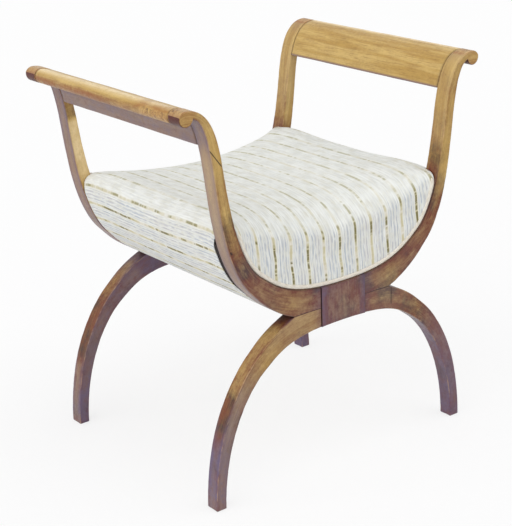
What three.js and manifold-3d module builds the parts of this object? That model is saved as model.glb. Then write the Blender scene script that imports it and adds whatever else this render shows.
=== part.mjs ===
// X frame stool: two matching frames of sawn and doweled wood, scrolled arms with a curved
// crest rail between each pair, and a fixed seat with a striped cover that fills the U.
// Millimetres, +Z up, +X across the width, +Y from the front frame to the back frame.
// The origin is on the floor under the middle of the stool.

import * as THREE from 'three';
import { mergeVertices } from 'three/addons/utils/BufferGeometryUtils.js';
import Module from 'manifold-3d';

const wasm = await Module();
wasm.setup();

// Overall sizes
const frameDepth = 455; // outer face of the front arms to outer face of the back arms
const archHeight = 264.6; // floor to the crown of the arch between two feet
const archSpan = 513; // clear width between the insides of two feet
const legRootDepth = 32.6; // arch crown to the joint between leg and arm
const armRootDepth = 34.8; // that joint to the bottom of the U
const armRise = 341.8; // bottom of the U to the top of the scroll
const overallWidth = 622; // over the rolls of the two scrolls

// Sections of the wood
const armThickness = 30;
const legThickness = 27;
const blockWidth = 95.4;
const blockProud = 1.5; // how far the centre block stands in front of the arms
const armRootWidth = 45.6;
const armUprightWidth = 18.4;
const armNeckWidth = 12;
const rollRadius = 12.3; // rounded lip at the end of each scroll
const legRootWidth = 43;
const footWidth = 19.8;
const crestDepth = 60; // height of a crest rail below the top of its scroll
const fit = 0.3; // clearance between pieces that touch

// Joinery inside the frames
const dowelDiameter = 9;
const dowelLength = 44;
const shortDowelLength = 30; // upright dowel between an arm and its leg
const tenonLength = 16;
const crestTenonThickness = 7;
const crestTenonHeight = 32;
const endTenonThickness = 9;
const endTenonHeight = 15;
const stretcherWidth = 60;
const stretcherHeight = 22;
const stretcherDrop = 6; // bottom of the U to the top of the stretcher
const stretcherTenonWidth = 36;
const stretcherTenonHeight = 12;

// Seat: frame pieces, webbing, stuffing and cloth
const clothThickness = 1.6;
const ribDepth = 14;
const ribThickness = 18;
const endRailHeight = 26;
const endRailRise = 118; // bottom of the U to the top of an end rail
const webbingWidth = 50;
const webbingThickness = 1.5;
const webbingCount = 7;
const webbingSetback = 5; // how far a strip stops inside the frame's outer face
const seatRise = 134; // bottom of the U to the middle of the seat's crown
const seatEndRise = 10; // how much higher the crown is towards the ends
const borderRise = 84; // bottom of the U to where the front border starts to roll over
const borderEndRise = 44; // how much higher that is beside the arms
const borderSetback = 3; // outer face of the arms to the face of the border
const endRollRadius = 24;
const pipingDiameter = 8;
const pipingSetback = 0.6;
const seamSetback = 9.2; // outer face of the arms to the seam behind the piping
const notchGap = 0.6; // cloth to the inner side of an arm
const apronEnd = 118; // how far from the middle the end aprons stop under the seat
const clothGap = 0.5; // apron to dust cloth
const screwLength = 38;
const screwDiameter = 4;
const screwHeadDiameter = 8;
const screwHeadDepth = 3;
const overrun = 2; // how far a cutting piece runs past what it cuts
const farAbove = 80; // how far a cutting prism runs above the seat
const weldDistance = 1e-4;

// Heights and half sizes that follow
const jointHeight = archHeight + legRootDepth;
const dishHeight = jointHeight + armRootDepth;
const overallHeight = dishHeight + armRise;
const armReach = overallWidth / 2 - rollRadius;
const archReach = archSpan / 2;
const outerPlane = frameDepth / 2;
const innerPlane = outerPlane - armThickness;
const blockHalf = blockWidth / 2;
const borderPlane = outerPlane - borderSetback;
const seamPlane = outerPlane - seamSetback;

// Outline of the arm's inner face as three cubic curves, in shares of armReach and armRise
const armFaceShares = [
  [0, 0], [0.362, 0], [0.46, 0.071], [0.57, 0.149],
  [0.737, 0.267], [0.772, 0.636], [0.796, 0.76],
  [0.8185, 0.873], [0.86, 1], [1, 1],
];
// Outline of the arch under the legs as two cubic curves, in shares of archReach and archHeight
const archShares = [
  [0, 1], [0.432, 1], [0.511, 0.933], [0.65, 0.833],
  [0.842, 0.694], [0.996, 0.372], [1, 0],
];
// Widths along the arm: place along its face, then the share from the upright's width to the root's
const armTaperShares = [
  [0, 1], [0.18, 1], [0.26, 0.755], [0.4, 0.35],
  [0.5, 0.21], [0.65, 0.06], [0.8, 0], [1, 0],
];
// Thinning of the arm into its scroll: place along its face, then the share of the way to the neck
const neckTaperShares = [[0, 0], [0.8, 0], [0.88, 0.33], [0.95, 1], [1, 1]];
// Widths along the leg: place along the arch, then the share from the foot's width to the root's
const legTaperShares = [
  [0, 1], [0.2, 1], [0.26, 0.79], [0.35, 0.575], [0.45, 0.39],
  [0.55, 0.25], [0.7, 0.147], [0.85, 0.035], [1, 0],
];
const armDowelShares = [0.28, 0.72]; // heights of the block dowels in the arm's root
const legDowelShares = [0.3, 0.7]; // heights of the block dowels in the leg's root
const shortDowelShare = 0.62; // place of the upright dowel from the block to the notch
const ribScrewShares = [0.463, 0.865]; // places of the screws from a rib's start to its end
const crestTenonShare = 0.42; // place of the tenon from the rail's lower edge to the neck
const neckShare = 0.95; // place along the arm's face where the scroll is at its thinnest

// Colours
const looks = {
  wood: { color: 0xa37a48, roughness: 0.45, metalness: 0 },
  hiddenWood: { color: 0xb9966a, roughness: 0.7, metalness: 0 },
  striped: { color: 0xe4e3dc, roughness: 0.9, metalness: 0 },
  piping: { color: 0xe8dfcf, roughness: 0.9, metalness: 0 },
  calico: { color: 0xcfc6b2, roughness: 0.95, metalness: 0 },
  webbing: { color: 0x8c7a5c, roughness: 0.95, metalness: 0 },
  stuffing: { color: 0xd8cdb4, roughness: 1, metalness: 0 },
  steel: { color: 0x8f9094, roughness: 0.4, metalness: 1 },
};

const stool = new THREE.Group();

function addPiece(parent, name, geometry, look) {
  const piece = new THREE.Mesh(geometry, new THREE.MeshStandardMaterial(looks[look]));
  piece.name = name;
  parent.add(piece);
  return piece;
}

// Solids for cutting and joining

function toSolid(geometry) {
  const bare = geometry.clone();
  bare.deleteAttribute('normal');
  bare.deleteAttribute('uv');
  const merged = mergeVertices(bare, weldDistance);
  const mesh = new wasm.Mesh({
    numProp: 3,
    vertProperties: new Float32Array(merged.attributes.position.array),
    triVerts: new Uint32Array(merged.index.array),
  });
  return new wasm.Manifold(mesh);
}

function toGeometry(solid) {
  const mesh = solid.getMesh();
  const geometry = new THREE.BufferGeometry();
  geometry.setAttribute('position', new THREE.BufferAttribute(mesh.vertProperties, 3));
  geometry.setIndex(new THREE.BufferAttribute(mesh.triVerts, 1));
  geometry.computeVertexNormals();
  return geometry;
}

function cutAway(geometry, cutters) {
  let solid = toSolid(geometry);
  for (const cutter of cutters) solid = solid.subtract(toSolid(cutter));
  return toGeometry(solid);
}

// A flat outline in X and Z, made solid from one depth in Y to another
function plank(outline, fromY, toY) {
  const thickness = toY - fromY;
  const geometry = new THREE.ExtrudeGeometry(new THREE.Shape(outline), {
    depth: thickness,
    steps: 1,
    bevelEnabled: false,
  });
  geometry.rotateX(Math.PI / 2);
  geometry.translate(0, toY, 0);
  return geometry;
}

function mirrored(outline) {
  return outline.map((point) => new THREE.Vector2(-point.x, point.y));
}

// Curves that shape the frames

function chain(shares, wide, high, base) {
  const points = shares.map(([a, b]) => new THREE.Vector2(a * wide, base + b * high));
  const path = new THREE.CurvePath();
  path.arcLengthDivisions = 400;
  for (let i = 0; i + 3 < points.length; i += 3) {
    path.add(new THREE.CubicBezierCurve(points[i], points[i + 1], points[i + 2], points[i + 3]));
  }
  return path;
}

const armFace = chain(armFaceShares, armReach, armRise, dishHeight);
const arch = chain(archShares, archReach, archHeight, 0);

// A smooth value through a table of places and values
function smooth(table, place) {
  const slope = (i) => {
    const low = Math.max(i - 1, 0);
    const high = Math.min(i + 1, table.length - 1);
    return (table[high][1] - table[low][1]) / (table[high][0] - table[low][0]);
  };
  let i = 0;
  while (i < table.length - 2 && table[i + 1][0] < place) i += 1;
  const gap = table[i + 1][0] - table[i][0];
  const t = (place - table[i][0]) / gap;
  const a = table[i][1];
  const b = table[i + 1][1];
  const ease = t * t * (3 - 2 * t);
  const lift = (t - 2 * t * t + t * t * t) * slope(i) + (t * t * t - t * t) * slope(i + 1);
  return a + (b - a) * ease + gap * lift;
}

function armWidth(place) {
  const body = THREE.MathUtils.lerp(armUprightWidth, armRootWidth, smooth(armTaperShares, place));
  return body + (armNeckWidth - armUprightWidth) * smooth(neckTaperShares, place);
}

function legWidth(place) {
  return THREE.MathUtils.lerp(footWidth, legRootWidth, smooth(legTaperShares, place));
}

// The arm's face and its outer edge; a positive inset lies inside the wood from the outer edge
function onFace(place, lift = 0) {
  const point = armFace.getPointAt(place);
  const along = armFace.getTangentAt(place);
  return new THREE.Vector2(point.x - along.y * lift, point.y + along.x * lift);
}

function onArmEdge(place, inset = 0) {
  return onFace(place, inset - armWidth(place));
}

function onLegEdge(place) {
  const point = arch.getPointAt(place);
  const along = arch.getTangentAt(place);
  const width = legWidth(place);
  return new THREE.Vector2(point.x - along.y * width, point.y + along.x * width);
}

// The place along a curve where a rising or falling measure reaches a value
function placeWhere(measure, value) {
  let low = 0;
  let high = 1;
  const rising = measure(high) > measure(low);
  for (let i = 0; i < 50; i += 1) {
    const middle = (low + high) / 2;
    if (measure(middle) > value === rising) high = middle;
    else low = middle;
  }
  return (low + high) / 2;
}

function spread(from, to, steps) {
  return Array.from({ length: steps + 1 }, (_, i) => from + ((to - from) * i) / steps);
}

// The outline of the scroll: round the lip from its top to the notch under it, then down the edge
function scrollEdge(fromPlace, steps) {
  const centre = new THREE.Vector2(armReach, overallHeight - rollRadius);
  const notchPlace = placeWhere((place) => onArmEdge(place).distanceTo(centre), rollRadius);
  const notch = onArmEdge(notchPlace);
  const angle = Math.atan2(notch.y - centre.y, notch.x - centre.x);
  const endAngle = angle > 0 ? angle - 2 * Math.PI : angle;
  const arc = spread(Math.PI / 2, endAngle, 14).slice(1, -1).map((turn) => new THREE.Vector2(
    centre.x + rollRadius * Math.cos(turn),
    centre.y + rollRadius * Math.sin(turn),
  ));
  return [...arc, ...spread(notchPlace, fromPlace, steps).map((place) => onArmEdge(place))];
}

// Outlines of the members of one frame, right-hand side

const upperJoint = jointHeight + fit / 2;
const lowerJoint = jointHeight - fit / 2;
const blockPlace = placeWhere((place) => armFace.getPointAt(place).x, blockHalf + fit);
const blockArchPlace = placeWhere((place) => arch.getPointAt(place).x, blockHalf + fit);
const armNotchPlace = placeWhere((place) => onArmEdge(place).y, upperJoint);
const legNotchPlace = placeWhere((place) => onLegEdge(place).y, lowerJoint);
const bendPlace = 0.78; // above this the arm turns out into its scroll

function armOutline() {
  const face = [...spread(blockPlace, bendPlace, 24), ...spread(bendPlace, 1, 14).slice(1)];
  return [
    new THREE.Vector2(blockHalf + fit, upperJoint),
    ...face.map((place) => onFace(place)),
    ...scrollEdge(bendPlace, 12),
    ...spread(bendPlace, armNotchPlace, 22).slice(1).map((place) => onArmEdge(place)),
  ];
}

function legOutline() {
  const soleOuter = new THREE.Vector2(onLegEdge(1).x, 0); // the sole is sawn level with the floor
  return [
    new THREE.Vector2(blockHalf + fit, lowerJoint),
    ...spread(blockArchPlace, 1, 26).map((place) => arch.getPointAt(place)),
    soleOuter,
    ...spread(1, legNotchPlace, 24).slice(1).map((place) => onLegEdge(place)),
  ];
}

function blockOutline() {
  const topPlace = placeWhere((place) => armFace.getPointAt(place).x, blockHalf);
  const bottomPlace = placeWhere((place) => arch.getPointAt(place).x, blockHalf);
  const top = spread(topPlace, 0, 4).map((place) => onFace(place));
  const bottom = spread(0, bottomPlace, 4).map((place) => arch.getPointAt(place));
  return [
    ...top,
    ...mirrored(top).reverse().slice(1),
    ...mirrored(bottom).reverse(),
    ...bottom.slice(1),
  ];
}

const notchX = onArmEdge(armNotchPlace).x;

// Dowels: where each stands in the right-hand half of a frame, and along which axis it lies

const dowelY = legThickness / 2;

function dowelPlaces() {
  const places = [];
  armDowelShares.forEach((share, i) => places.push({
    name: `arm_dowel_${i + 1}`,
    centre: new THREE.Vector3(blockHalf, dowelY, jointHeight + armRootDepth * share),
    length: dowelLength,
    flat: true,
  }));
  legDowelShares.forEach((share, i) => places.push({
    name: `leg_dowel_${i + 1}`,
    centre: new THREE.Vector3(blockHalf, dowelY, archHeight + legRootDepth * share),
    length: dowelLength,
    flat: true,
  }));
  places.push({
    name: 'joint_dowel',
    centre: new THREE.Vector3(
      THREE.MathUtils.lerp(blockHalf, notchX, shortDowelShare),
      dowelY,
      jointHeight,
    ),
    length: shortDowelLength,
    flat: false,
  });
  return places;
}

function dowelShape(place, side, clearance) {
  const radius = dowelDiameter / 2 + clearance;
  const shape = new THREE.CylinderGeometry(radius, radius, place.length + 2 * clearance, 16);
  if (place.flat) shape.rotateZ(Math.PI / 2);
  else shape.rotateX(Math.PI / 2);
  shape.translate(side * place.centre.x, place.centre.y, place.centre.z);
  return shape;
}

// Tenons, lying along the arm in the middle of its width

function tiltedBox(place, side, thickness, height, fromY, toY) {
  const middle = onFace(place, -armWidth(place) / 2);
  const along = armFace.getTangentAt(place);
  const box = new THREE.BoxGeometry(thickness, toY - fromY, height);
  box.rotateY(side * Math.atan2(along.x, along.y));
  box.translate(side * middle.x, (fromY + toY) / 2, middle.y);
  return box;
}

const crestPlace = placeWhere((place) => armFace.getPointAt(place).y, overallHeight - crestDepth);
const crestTenonPlace = THREE.MathUtils.lerp(crestPlace, neckShare, crestTenonShare);

function crestTenon(side, fromY, toY, clearance) {
  const thickness = crestTenonThickness + 2 * clearance;
  const height = crestTenonHeight + 2 * clearance;
  return tiltedBox(crestTenonPlace, side, thickness, height, fromY, toY);
}

const endRailTop = placeWhere((place) => armFace.getPointAt(place).y, dishHeight + endRailRise);
const endRailBottom = endRailTop - endRailHeight / armFace.getLength();

function endTenon(side, fromY, toY, clearance) {
  const thickness = endTenonThickness + 2 * clearance;
  const height = endTenonHeight + 2 * clearance;
  return tiltedBox((endRailTop + endRailBottom) / 2, side, thickness, height, fromY, toY);
}

const stretcherTop = dishHeight - stretcherDrop;

function stretcherTenon(fromY, toY, clearance) {
  const tenon = new THREE.BoxGeometry(
    stretcherTenonWidth + 2 * clearance,
    toY - fromY,
    stretcherTenonHeight + 2 * clearance,
  );
  tenon.translate(0, (fromY + toY) / 2, stretcherTop - stretcherHeight / 2);
  return tenon;
}

// Where the ribs lie along the arm, and their screws, which go from a rib into the arm
const ribInset = clothThickness + 2 * fit;
const ribInner = ribInset + ribDepth;
const ribStart = placeWhere((place) => onUnderside(place, ribInner).x, stretcherWidth / 2 + fit);
const ribEnd = endRailBottom - fit / armFace.getLength();

function screwAt(share, side) {
  const place = THREE.MathUtils.lerp(ribStart, ribEnd, share);
  const middle = onArmEdge(place, ribInset + ribDepth / 2);
  return new THREE.Vector3(side * middle.x, armThickness + fit + ribThickness, middle.y);
}

function screwShape(at, clearance) {
  const shank = screwDiameter / 2 + clearance;
  const head = screwHeadDiameter / 2 + clearance;
  const profile = [
    new THREE.Vector2(0, -screwLength - clearance),
    new THREE.Vector2(shank, -screwLength - clearance),
    new THREE.Vector2(shank, -screwHeadDepth),
    new THREE.Vector2(head, 0),
    new THREE.Vector2(head, clearance > 0 ? overrun : 0),
    new THREE.Vector2(0, clearance > 0 ? overrun : 0),
  ];
  const outline = clearance > 0 ? profile : profile.filter((_, i) => i !== 4);
  const shape = new THREE.LatheGeometry(outline, 12);
  shape.translate(at.x, at.y, at.z);
  return shape;
}

// One frame, built with its outer face at y = 0 and its inner side towards +Y

function onSide(outline, side) {
  return side > 0 ? outline : mirrored(outline);
}

function buildFrame(end) {
  const frame = new THREE.Group();
  const sides = [['right', 1], ['left', -1]];
  const blockCuts = [
    stretcherTenon(armThickness - tenonLength - fit, armThickness + overrun, fit),
  ];
  for (const [sideName, side] of sides) {
    // the back frame is the same frame turned half round, so its sides swap
    const label = end === 'back' ? { right: 'left', left: 'right' }[sideName] : sideName;
    const places = dowelPlaces();
    const holes = places.map((place) => dowelShape(place, side, fit));
    blockCuts.push(...holes.slice(0, -1));

    const mortises = [crestTenon, endTenon].map(
      (tenon) => tenon(side, armThickness - tenonLength - fit, armThickness + overrun, fit),
    );
    const pilots = ribScrewShares.map((share) => screwShape(screwAt(share, side), fit));
    const armHoles = [holes[0], holes[1], holes[4]];
    const arm = plank(onSide(armOutline(), side), 0, armThickness);
    addPiece(frame, `${end}_arm_${label}`, cutAway(arm, [...armHoles, ...mortises, ...pilots]), 'wood');

    const leg = plank(onSide(legOutline(), side), 0, legThickness);
    addPiece(frame, `${end}_leg_${label}`, cutAway(leg, [holes[2], holes[3], holes[4]]), 'wood');

    for (const place of places) {
      addPiece(frame, `${end}_${place.name}_${label}`, dowelShape(place, side, 0), 'hiddenWood');
    }

    const rib = plank(
      onSide(ribOutline(), side),
      armThickness + fit,
      armThickness + fit + ribThickness,
    );
    addPiece(frame, `${end}_seat_rib_${label}`, cutAway(rib, pilots), 'hiddenWood');
    ribScrewShares.forEach((share, i) => {
      const screw = screwShape(screwAt(share, side), 0);
      addPiece(frame, `${end}_rib_screw_${i + 1}_${label}`, screw, 'steel');
    });
  }
  const block = plank(blockOutline(), -blockProud, armThickness);
  addPiece(frame, `${end}_centre_block`, cutAway(block, blockCuts), 'wood');
  return frame;
}

// The seat's underside: level with the arm's outer edge, and flat over the joint with the legs
function onUnderside(place, inset) {
  const point = onArmEdge(place, inset);
  return new THREE.Vector2(point.x, Math.max(point.y, jointHeight + inset));
}

// Cloth and wood that lie on each other bend at the same places along the arm
const sharedPlaces = [...spread(0, 1, 48), armNotchPlace].sort((a, b) => a - b);

function placesBetween(from, to) {
  return [from, ...sharedPlaces.filter((place) => place > from && place < to), to];
}

function undersideStrip(from, to, outerInset, innerInset) {
  const places = placesBetween(from, to);
  return [
    ...places.map((place) => onUnderside(place, outerInset)),
    ...places.reverse().map((place) => onUnderside(place, innerInset)),
  ];
}

function ribOutline() {
  return undersideStrip(ribStart, ribEnd, ribInset, ribInner);
}

// Crest rails and end rails, between the two frames

function crossRail(name, outline, tenon, side, look) {
  const half = innerPlane - fit;
  const reach = innerPlane + tenonLength;
  const solid = toSolid(plank(onSide(outline, side), -half, half))
    .add(toSolid(tenon(side, half - overrun, reach, 0)))
    .add(toSolid(tenon(side, -reach, overrun - half, 0)));
  addPiece(stool, name, toGeometry(solid), look);
}

function crestOutline() {
  const face = spread(crestPlace, 1, 14).map((place) => onFace(place));
  return [...face, ...scrollEdge(crestPlace, 12)];
}

function endRailOutline() {
  const places = spread(endRailBottom, endRailTop, 3);
  return [
    ...places.map((place) => onArmEdge(place, ribInset)),
    ...places.reverse().map((place) => onFace(place, -fit)),
  ];
}

// Webbing strips, laid from frame to frame on the inner faces of the arms

function webbingOutline(middle) {
  const half = webbingWidth / 2 / armFace.getLength();
  const places = spread(middle - half, middle + half, 6);
  const at = (place, lift) => {
    const point = onFace(Math.abs(place), lift);
    return place < 0 ? new THREE.Vector2(-point.x, point.y) : point;
  };
  return [
    ...places.map((place) => at(place, fit)),
    ...places.reverse().map((place) => at(place, fit + webbingThickness)),
  ];
}

function buildWebbing() {
  const reach = outerPlane - webbingSetback - pipingDiameter;
  const edgePlace = endRailTop - webbingWidth / 2 / armFace.getLength();
  spread(-edgePlace, edgePlace, webbingCount - 1).forEach((middle, i) => {
    const strip = plank(webbingOutline(middle), -reach, reach);
    addPiece(stool, `webbing_strip_${i + 1}`, strip, 'webbing');
  });
}

// The seat's crown as a height over the plan, with every face set in by an inset

const crownPower = 3.2;
const crownEndPower = 4;
const seatReach = onArmEdge(endRailTop, fit).x;

function crownHeight(x, y, inset) {
  const across = Math.abs(x) / seatReach;
  const reach = seatReach - inset;
  const middle = dishHeight + seatRise + seatEndRise * across ** 2;
  const border = dishHeight + borderRise + borderEndRise * across ** 4;
  const power = crownPower + crownEndPower * across ** 2;
  const over = Math.min(Math.abs(y) / (borderPlane - inset), 1);
  const dome = Math.sqrt(Math.max(1 - over ** power, 0));
  const past = Math.max(Math.abs(x) - (reach - endRollRadius), 0) / endRollRadius;
  const drop = endRollRadius * (1 - Math.sqrt(Math.max(1 - past * past, 0)));
  return border + (middle - border) * dome - drop - inset;
}

function crownBody(inset) {
  const reach = seatReach - inset;
  const plateau = reach - endRollRadius;
  const roll = spread(0, Math.PI / 2, 4).slice(1).map((a) => plateau + endRollRadius * Math.sin(a));
  const level = spread(-plateau, plateau, 14);
  const columns = [...roll.map((x) => -x).reverse(), ...level, ...roll];
  const rows = spread(-Math.PI / 2, Math.PI / 2, 14).map((a) => (borderPlane - inset) * Math.sin(a));
  const wide = columns.length;
  const deep = rows.length;
  const positions = [];
  for (const y of rows) {
    for (const x of columns) positions.push(x, y, crownHeight(x, y, inset));
  }
  for (const y of rows) {
    for (const x of columns) positions.push(x, y, archHeight);
  }
  const faces = [];
  const top = (i, j) => j * wide + i;
  const bottom = (i, j) => wide * deep + j * wide + i;
  for (let j = 0; j + 1 < deep; j += 1) {
    for (let i = 0; i + 1 < wide; i += 1) {
      faces.push(top(i, j), top(i + 1, j), top(i + 1, j + 1));
      faces.push(top(i, j), top(i + 1, j + 1), top(i, j + 1));
      faces.push(bottom(i, j), bottom(i + 1, j + 1), bottom(i + 1, j));
      faces.push(bottom(i, j), bottom(i, j + 1), bottom(i + 1, j + 1));
    }
  }
  const wall = (a, b, c, d) => faces.push(a, b, c, a, c, d);
  for (let i = 0; i + 1 < wide; i += 1) {
    wall(bottom(i, 0), bottom(i + 1, 0), top(i + 1, 0), top(i, 0));
    wall(bottom(i + 1, deep - 1), bottom(i, deep - 1), top(i, deep - 1), top(i + 1, deep - 1));
  }
  for (let j = 0; j + 1 < deep; j += 1) {
    wall(bottom(0, j + 1), bottom(0, j), top(0, j), top(0, j + 1));
    wall(bottom(wide - 1, j), bottom(wide - 1, j + 1), top(wide - 1, j + 1), top(wide - 1, j));
  }
  const geometry = new THREE.BufferGeometry();
  geometry.setAttribute('position', new THREE.BufferAttribute(new Float32Array(positions), 3));
  geometry.setIndex(faces);
  return toSolid(geometry);
}

const seatTopPlace = placeWhere(
  (place) => armFace.getPointAt(place).y,
  dishHeight + seatRise + seatEndRise + farAbove,
);

// Everything inside the U, lifted off the arms' faces by an amount
function insideU(lift, halfDepth) {
  const right = spread(0, seatTopPlace, 26).map((place) => onFace(place, lift));
  const outline = [...mirrored(right).reverse(), ...right.slice(1)];
  return toSolid(plank(outline, -halfDepth, halfDepth));
}

// Everything above the end rails, out to an inset from the arms' outer edges
function overRails(inset, halfDepth, gap) {
  const start = endRailTop + gap / armFace.getLength();
  const right = spread(start, seatTopPlace, 8).map((place) => onArmEdge(place, inset));
  const inner = onFace(start, overrun);
  const side = [inner, ...right];
  return toSolid(plank([...mirrored(side).reverse(), ...side], -halfDepth, halfDepth));
}

const notchPlane = innerPlane - notchGap;

function buildStuffing() {
  const inset = clothThickness + fit;
  const lift = webbingThickness + 2 * fit;
  const region = insideU(pipingDiameter + 3 * fit, borderPlane)
    .add(insideU(lift, seamPlane - clothThickness))
    .add(overRails(inset + fit, notchPlane - inset, fit));
  const body = crownBody(inset).intersect(region);
  addPiece(stool, 'seat_stuffing', toGeometry(body), 'stuffing');
}

function buildCover() {
  const outer = crownBody(0).intersect(
    insideU(pipingDiameter + 2 * fit, outerPlane)
      .add(insideU(fit, seamPlane))
      .add(overRails(fit, notchPlane, 0)),
  );
  const inner = crownBody(clothThickness).intersect(
    insideU(0, outerPlane)
      .add(overRails(fit + clothThickness, notchPlane - clothThickness, -overrun)),
  );
  const shell = outer.subtract(inner);
  const start = placeWhere((place) => onUnderside(place, fit).x, apronEnd);
  const end = endRailTop + fit / armFace.getLength();
  const strip = undersideStrip(start, end, fit, fit + clothThickness);
  const aprons = [strip, mirrored(strip)].map((outline) => toSolid(
    plank(outline, -notchPlane, notchPlane),
  ));
  const cover = shell.add(aprons[0]).add(aprons[1]);
  addPiece(stool, 'seat_cover', toGeometry(cover), 'striped');
}

function buildDustCloth() {
  const end = placeWhere((place) => onUnderside(place, fit).x, apronEnd - clothGap);
  const places = placesBetween(0, end);
  const low = places.map((place) => onUnderside(place, fit));
  const high = places.map((place) => onUnderside(place, fit + clothThickness));
  const outline = [
    ...mirrored(low).reverse(),
    ...low.slice(1),
    ...high.slice(1).reverse(),
    ...mirrored(high),
  ];
  addPiece(stool, 'dust_cloth', plank(outline, -notchPlane, notchPlane), 'calico');
}

// Piping cords that lie along the U in front of the borders

function buildPiping(end, direction) {
  const radius = pipingDiameter / 2;
  const y = direction * (outerPlane - pipingSetback - radius);
  const top = placeWhere(
    (place) => armFace.getPointAt(place).y,
    dishHeight + borderRise + borderEndRise - radius,
  );
  const right = spread(0, top, 22).map((place) => {
    const point = onFace(place, fit + radius);
    return new THREE.Vector3(point.x, y, point.y);
  });
  const left = right.slice(1).map((point) => new THREE.Vector3(-point.x, point.y, point.z));
  const route = new THREE.CatmullRomCurve3([...left.reverse(), ...right], false, 'centripetal');
  const section = new THREE.Shape();
  section.absarc(0, 0, radius, 0, 2 * Math.PI);
  const cord = new THREE.ExtrudeGeometry(section, {
    steps: 44,
    curveSegments: 5,
    extrudePath: route,
    bevelEnabled: false,
  });
  addPiece(stool, `${end}_piping`, cord, 'piping');
}

// Stretcher between the two centre blocks

function buildStretcher() {
  const half = innerPlane - fit;
  const body = new THREE.BoxGeometry(stretcherWidth, 2 * half, stretcherHeight);
  body.translate(0, 0, stretcherTop - stretcherHeight / 2);
  const reach = innerPlane + tenonLength;
  const solid = toSolid(body).add(toSolid(stretcherTenon(-reach, reach, 0)));
  addPiece(stool, 'centre_stretcher', toGeometry(solid), 'hiddenWood');
}

const frontFrame = buildFrame('front');
frontFrame.position.y = -outerPlane;
stool.add(frontFrame);

const backFrame = buildFrame('back');
backFrame.rotation.z = Math.PI;
backFrame.position.y = outerPlane;
stool.add(backFrame);

for (const [sideName, side] of [['right', 1], ['left', -1]]) {
  crossRail(`${sideName}_crest_rail`, crestOutline(), crestTenon, side, 'wood');
  crossRail(`${sideName}_end_rail`, endRailOutline(), endTenon, side, 'hiddenWood');
}
buildStretcher();
buildWebbing();
buildStuffing();
buildCover();
buildDustCloth();
buildPiping('front', -1);
buildPiping('back', 1);

export default stool;
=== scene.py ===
# X frame stool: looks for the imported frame. Metres, +Z up, +X across the width, the front at -Y.
import math

import bpy
import numpy as np
from mathutils import Matrix, Vector, noise


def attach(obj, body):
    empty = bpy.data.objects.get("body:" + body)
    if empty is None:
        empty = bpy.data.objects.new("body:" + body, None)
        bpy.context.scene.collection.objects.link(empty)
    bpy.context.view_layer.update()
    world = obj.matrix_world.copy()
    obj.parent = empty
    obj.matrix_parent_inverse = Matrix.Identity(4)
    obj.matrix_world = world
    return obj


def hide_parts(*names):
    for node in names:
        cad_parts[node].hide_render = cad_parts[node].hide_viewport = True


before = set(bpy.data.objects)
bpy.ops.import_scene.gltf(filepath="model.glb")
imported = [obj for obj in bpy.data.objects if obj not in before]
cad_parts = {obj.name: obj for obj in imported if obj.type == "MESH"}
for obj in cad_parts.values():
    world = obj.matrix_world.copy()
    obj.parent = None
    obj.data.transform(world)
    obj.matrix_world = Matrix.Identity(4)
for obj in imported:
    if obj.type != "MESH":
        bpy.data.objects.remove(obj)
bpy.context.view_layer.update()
print("frame loaded:", len(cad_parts), "nodes")

# The sizes and curves that the frame was drawn with
shape = {
    "frameDepth": 0.455,
    "archHeight": 0.2646,
    "archSpan": 0.513,
    "legRootDepth": 0.0326,
    "armRootDepth": 0.0348,
    "armRise": 0.3418,
    "overallWidth": 0.622,
    "armThickness": 0.030,
    "legThickness": 0.027,
    "blockWidth": 0.0954,
    "blockProud": 0.0015,
    "armRootWidth": 0.0456,
    "armUprightWidth": 0.0184,
    "armNeckWidth": 0.012,
    "rollRadius": 0.0123,
    "legRootWidth": 0.043,
    "footWidth": 0.0198,
    "crestDepth": 0.060,
    "fit": 0.0003,
}
armFaceShares = [
    (0, 0), (0.362, 0), (0.46, 0.071), (0.57, 0.149), (0.737, 0.267),
    (0.772, 0.636), (0.796, 0.76), (0.8185, 0.873), (0.86, 1), (1, 1),
]
archShares = [(0, 1), (0.432, 1), (0.511, 0.933), (0.65, 0.833), (0.842, 0.694), (0.996, 0.372), (1, 0)]
armTaperShares = [(0, 1), (0.18, 1), (0.26, 0.755), (0.4, 0.35), (0.5, 0.21), (0.65, 0.06), (0.8, 0), (1, 0)]
neckTaperShares = [(0, 0), (0.8, 0), (0.88, 0.33), (0.95, 1), (1, 1)]
legTaperShares = [
    (0, 1), (0.2, 1), (0.26, 0.79), (0.35, 0.575), (0.45, 0.39),
    (0.55, 0.25), (0.7, 0.147), (0.85, 0.035), (1, 0),
]
fit = shape["fit"]
jointHeight = shape["archHeight"] + shape["legRootDepth"]
dishHeight = jointHeight + shape["armRootDepth"]
overallHeight = dishHeight + shape["armRise"]
armReach = shape["overallWidth"] / 2 - shape["rollRadius"]
outerPlane = shape["frameDepth"] / 2
innerPlane = outerPlane - shape["armThickness"]
blockHalf = shape["blockWidth"] / 2
upperJoint = jointHeight + fit / 2
lowerJoint = jointHeight - fit / 2


# Distance along a line at each of its points
def runAlong(line):
    return np.r_[0, np.cumsum(np.linalg.norm(np.diff(line, axis=0), axis=1))]


def bezierChain(shares, wide, high, base):
    points = [np.array((a * wide, base + b * high)) for a, b in shares]
    t = np.linspace(0, 1, 401)[:, None]
    parts = []
    for i in range(0, len(points) - 1, 3):
        a, b, c, d = points[i:i + 4]
        part = (1 - t) ** 3 * a + 3 * (1 - t) ** 2 * t * b + 3 * (1 - t) * t * t * c + t ** 3 * d
        parts.append(part if i == 0 else part[1:])
    line = np.vstack(parts)
    run = runAlong(line)
    return {"line": line, "place": run / run[-1], "length": run[-1]}


def curvePoint(curve, place):
    return np.stack([np.interp(place, curve["place"], curve["line"][:, k]) for k in (0, 1)], -1)


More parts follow.
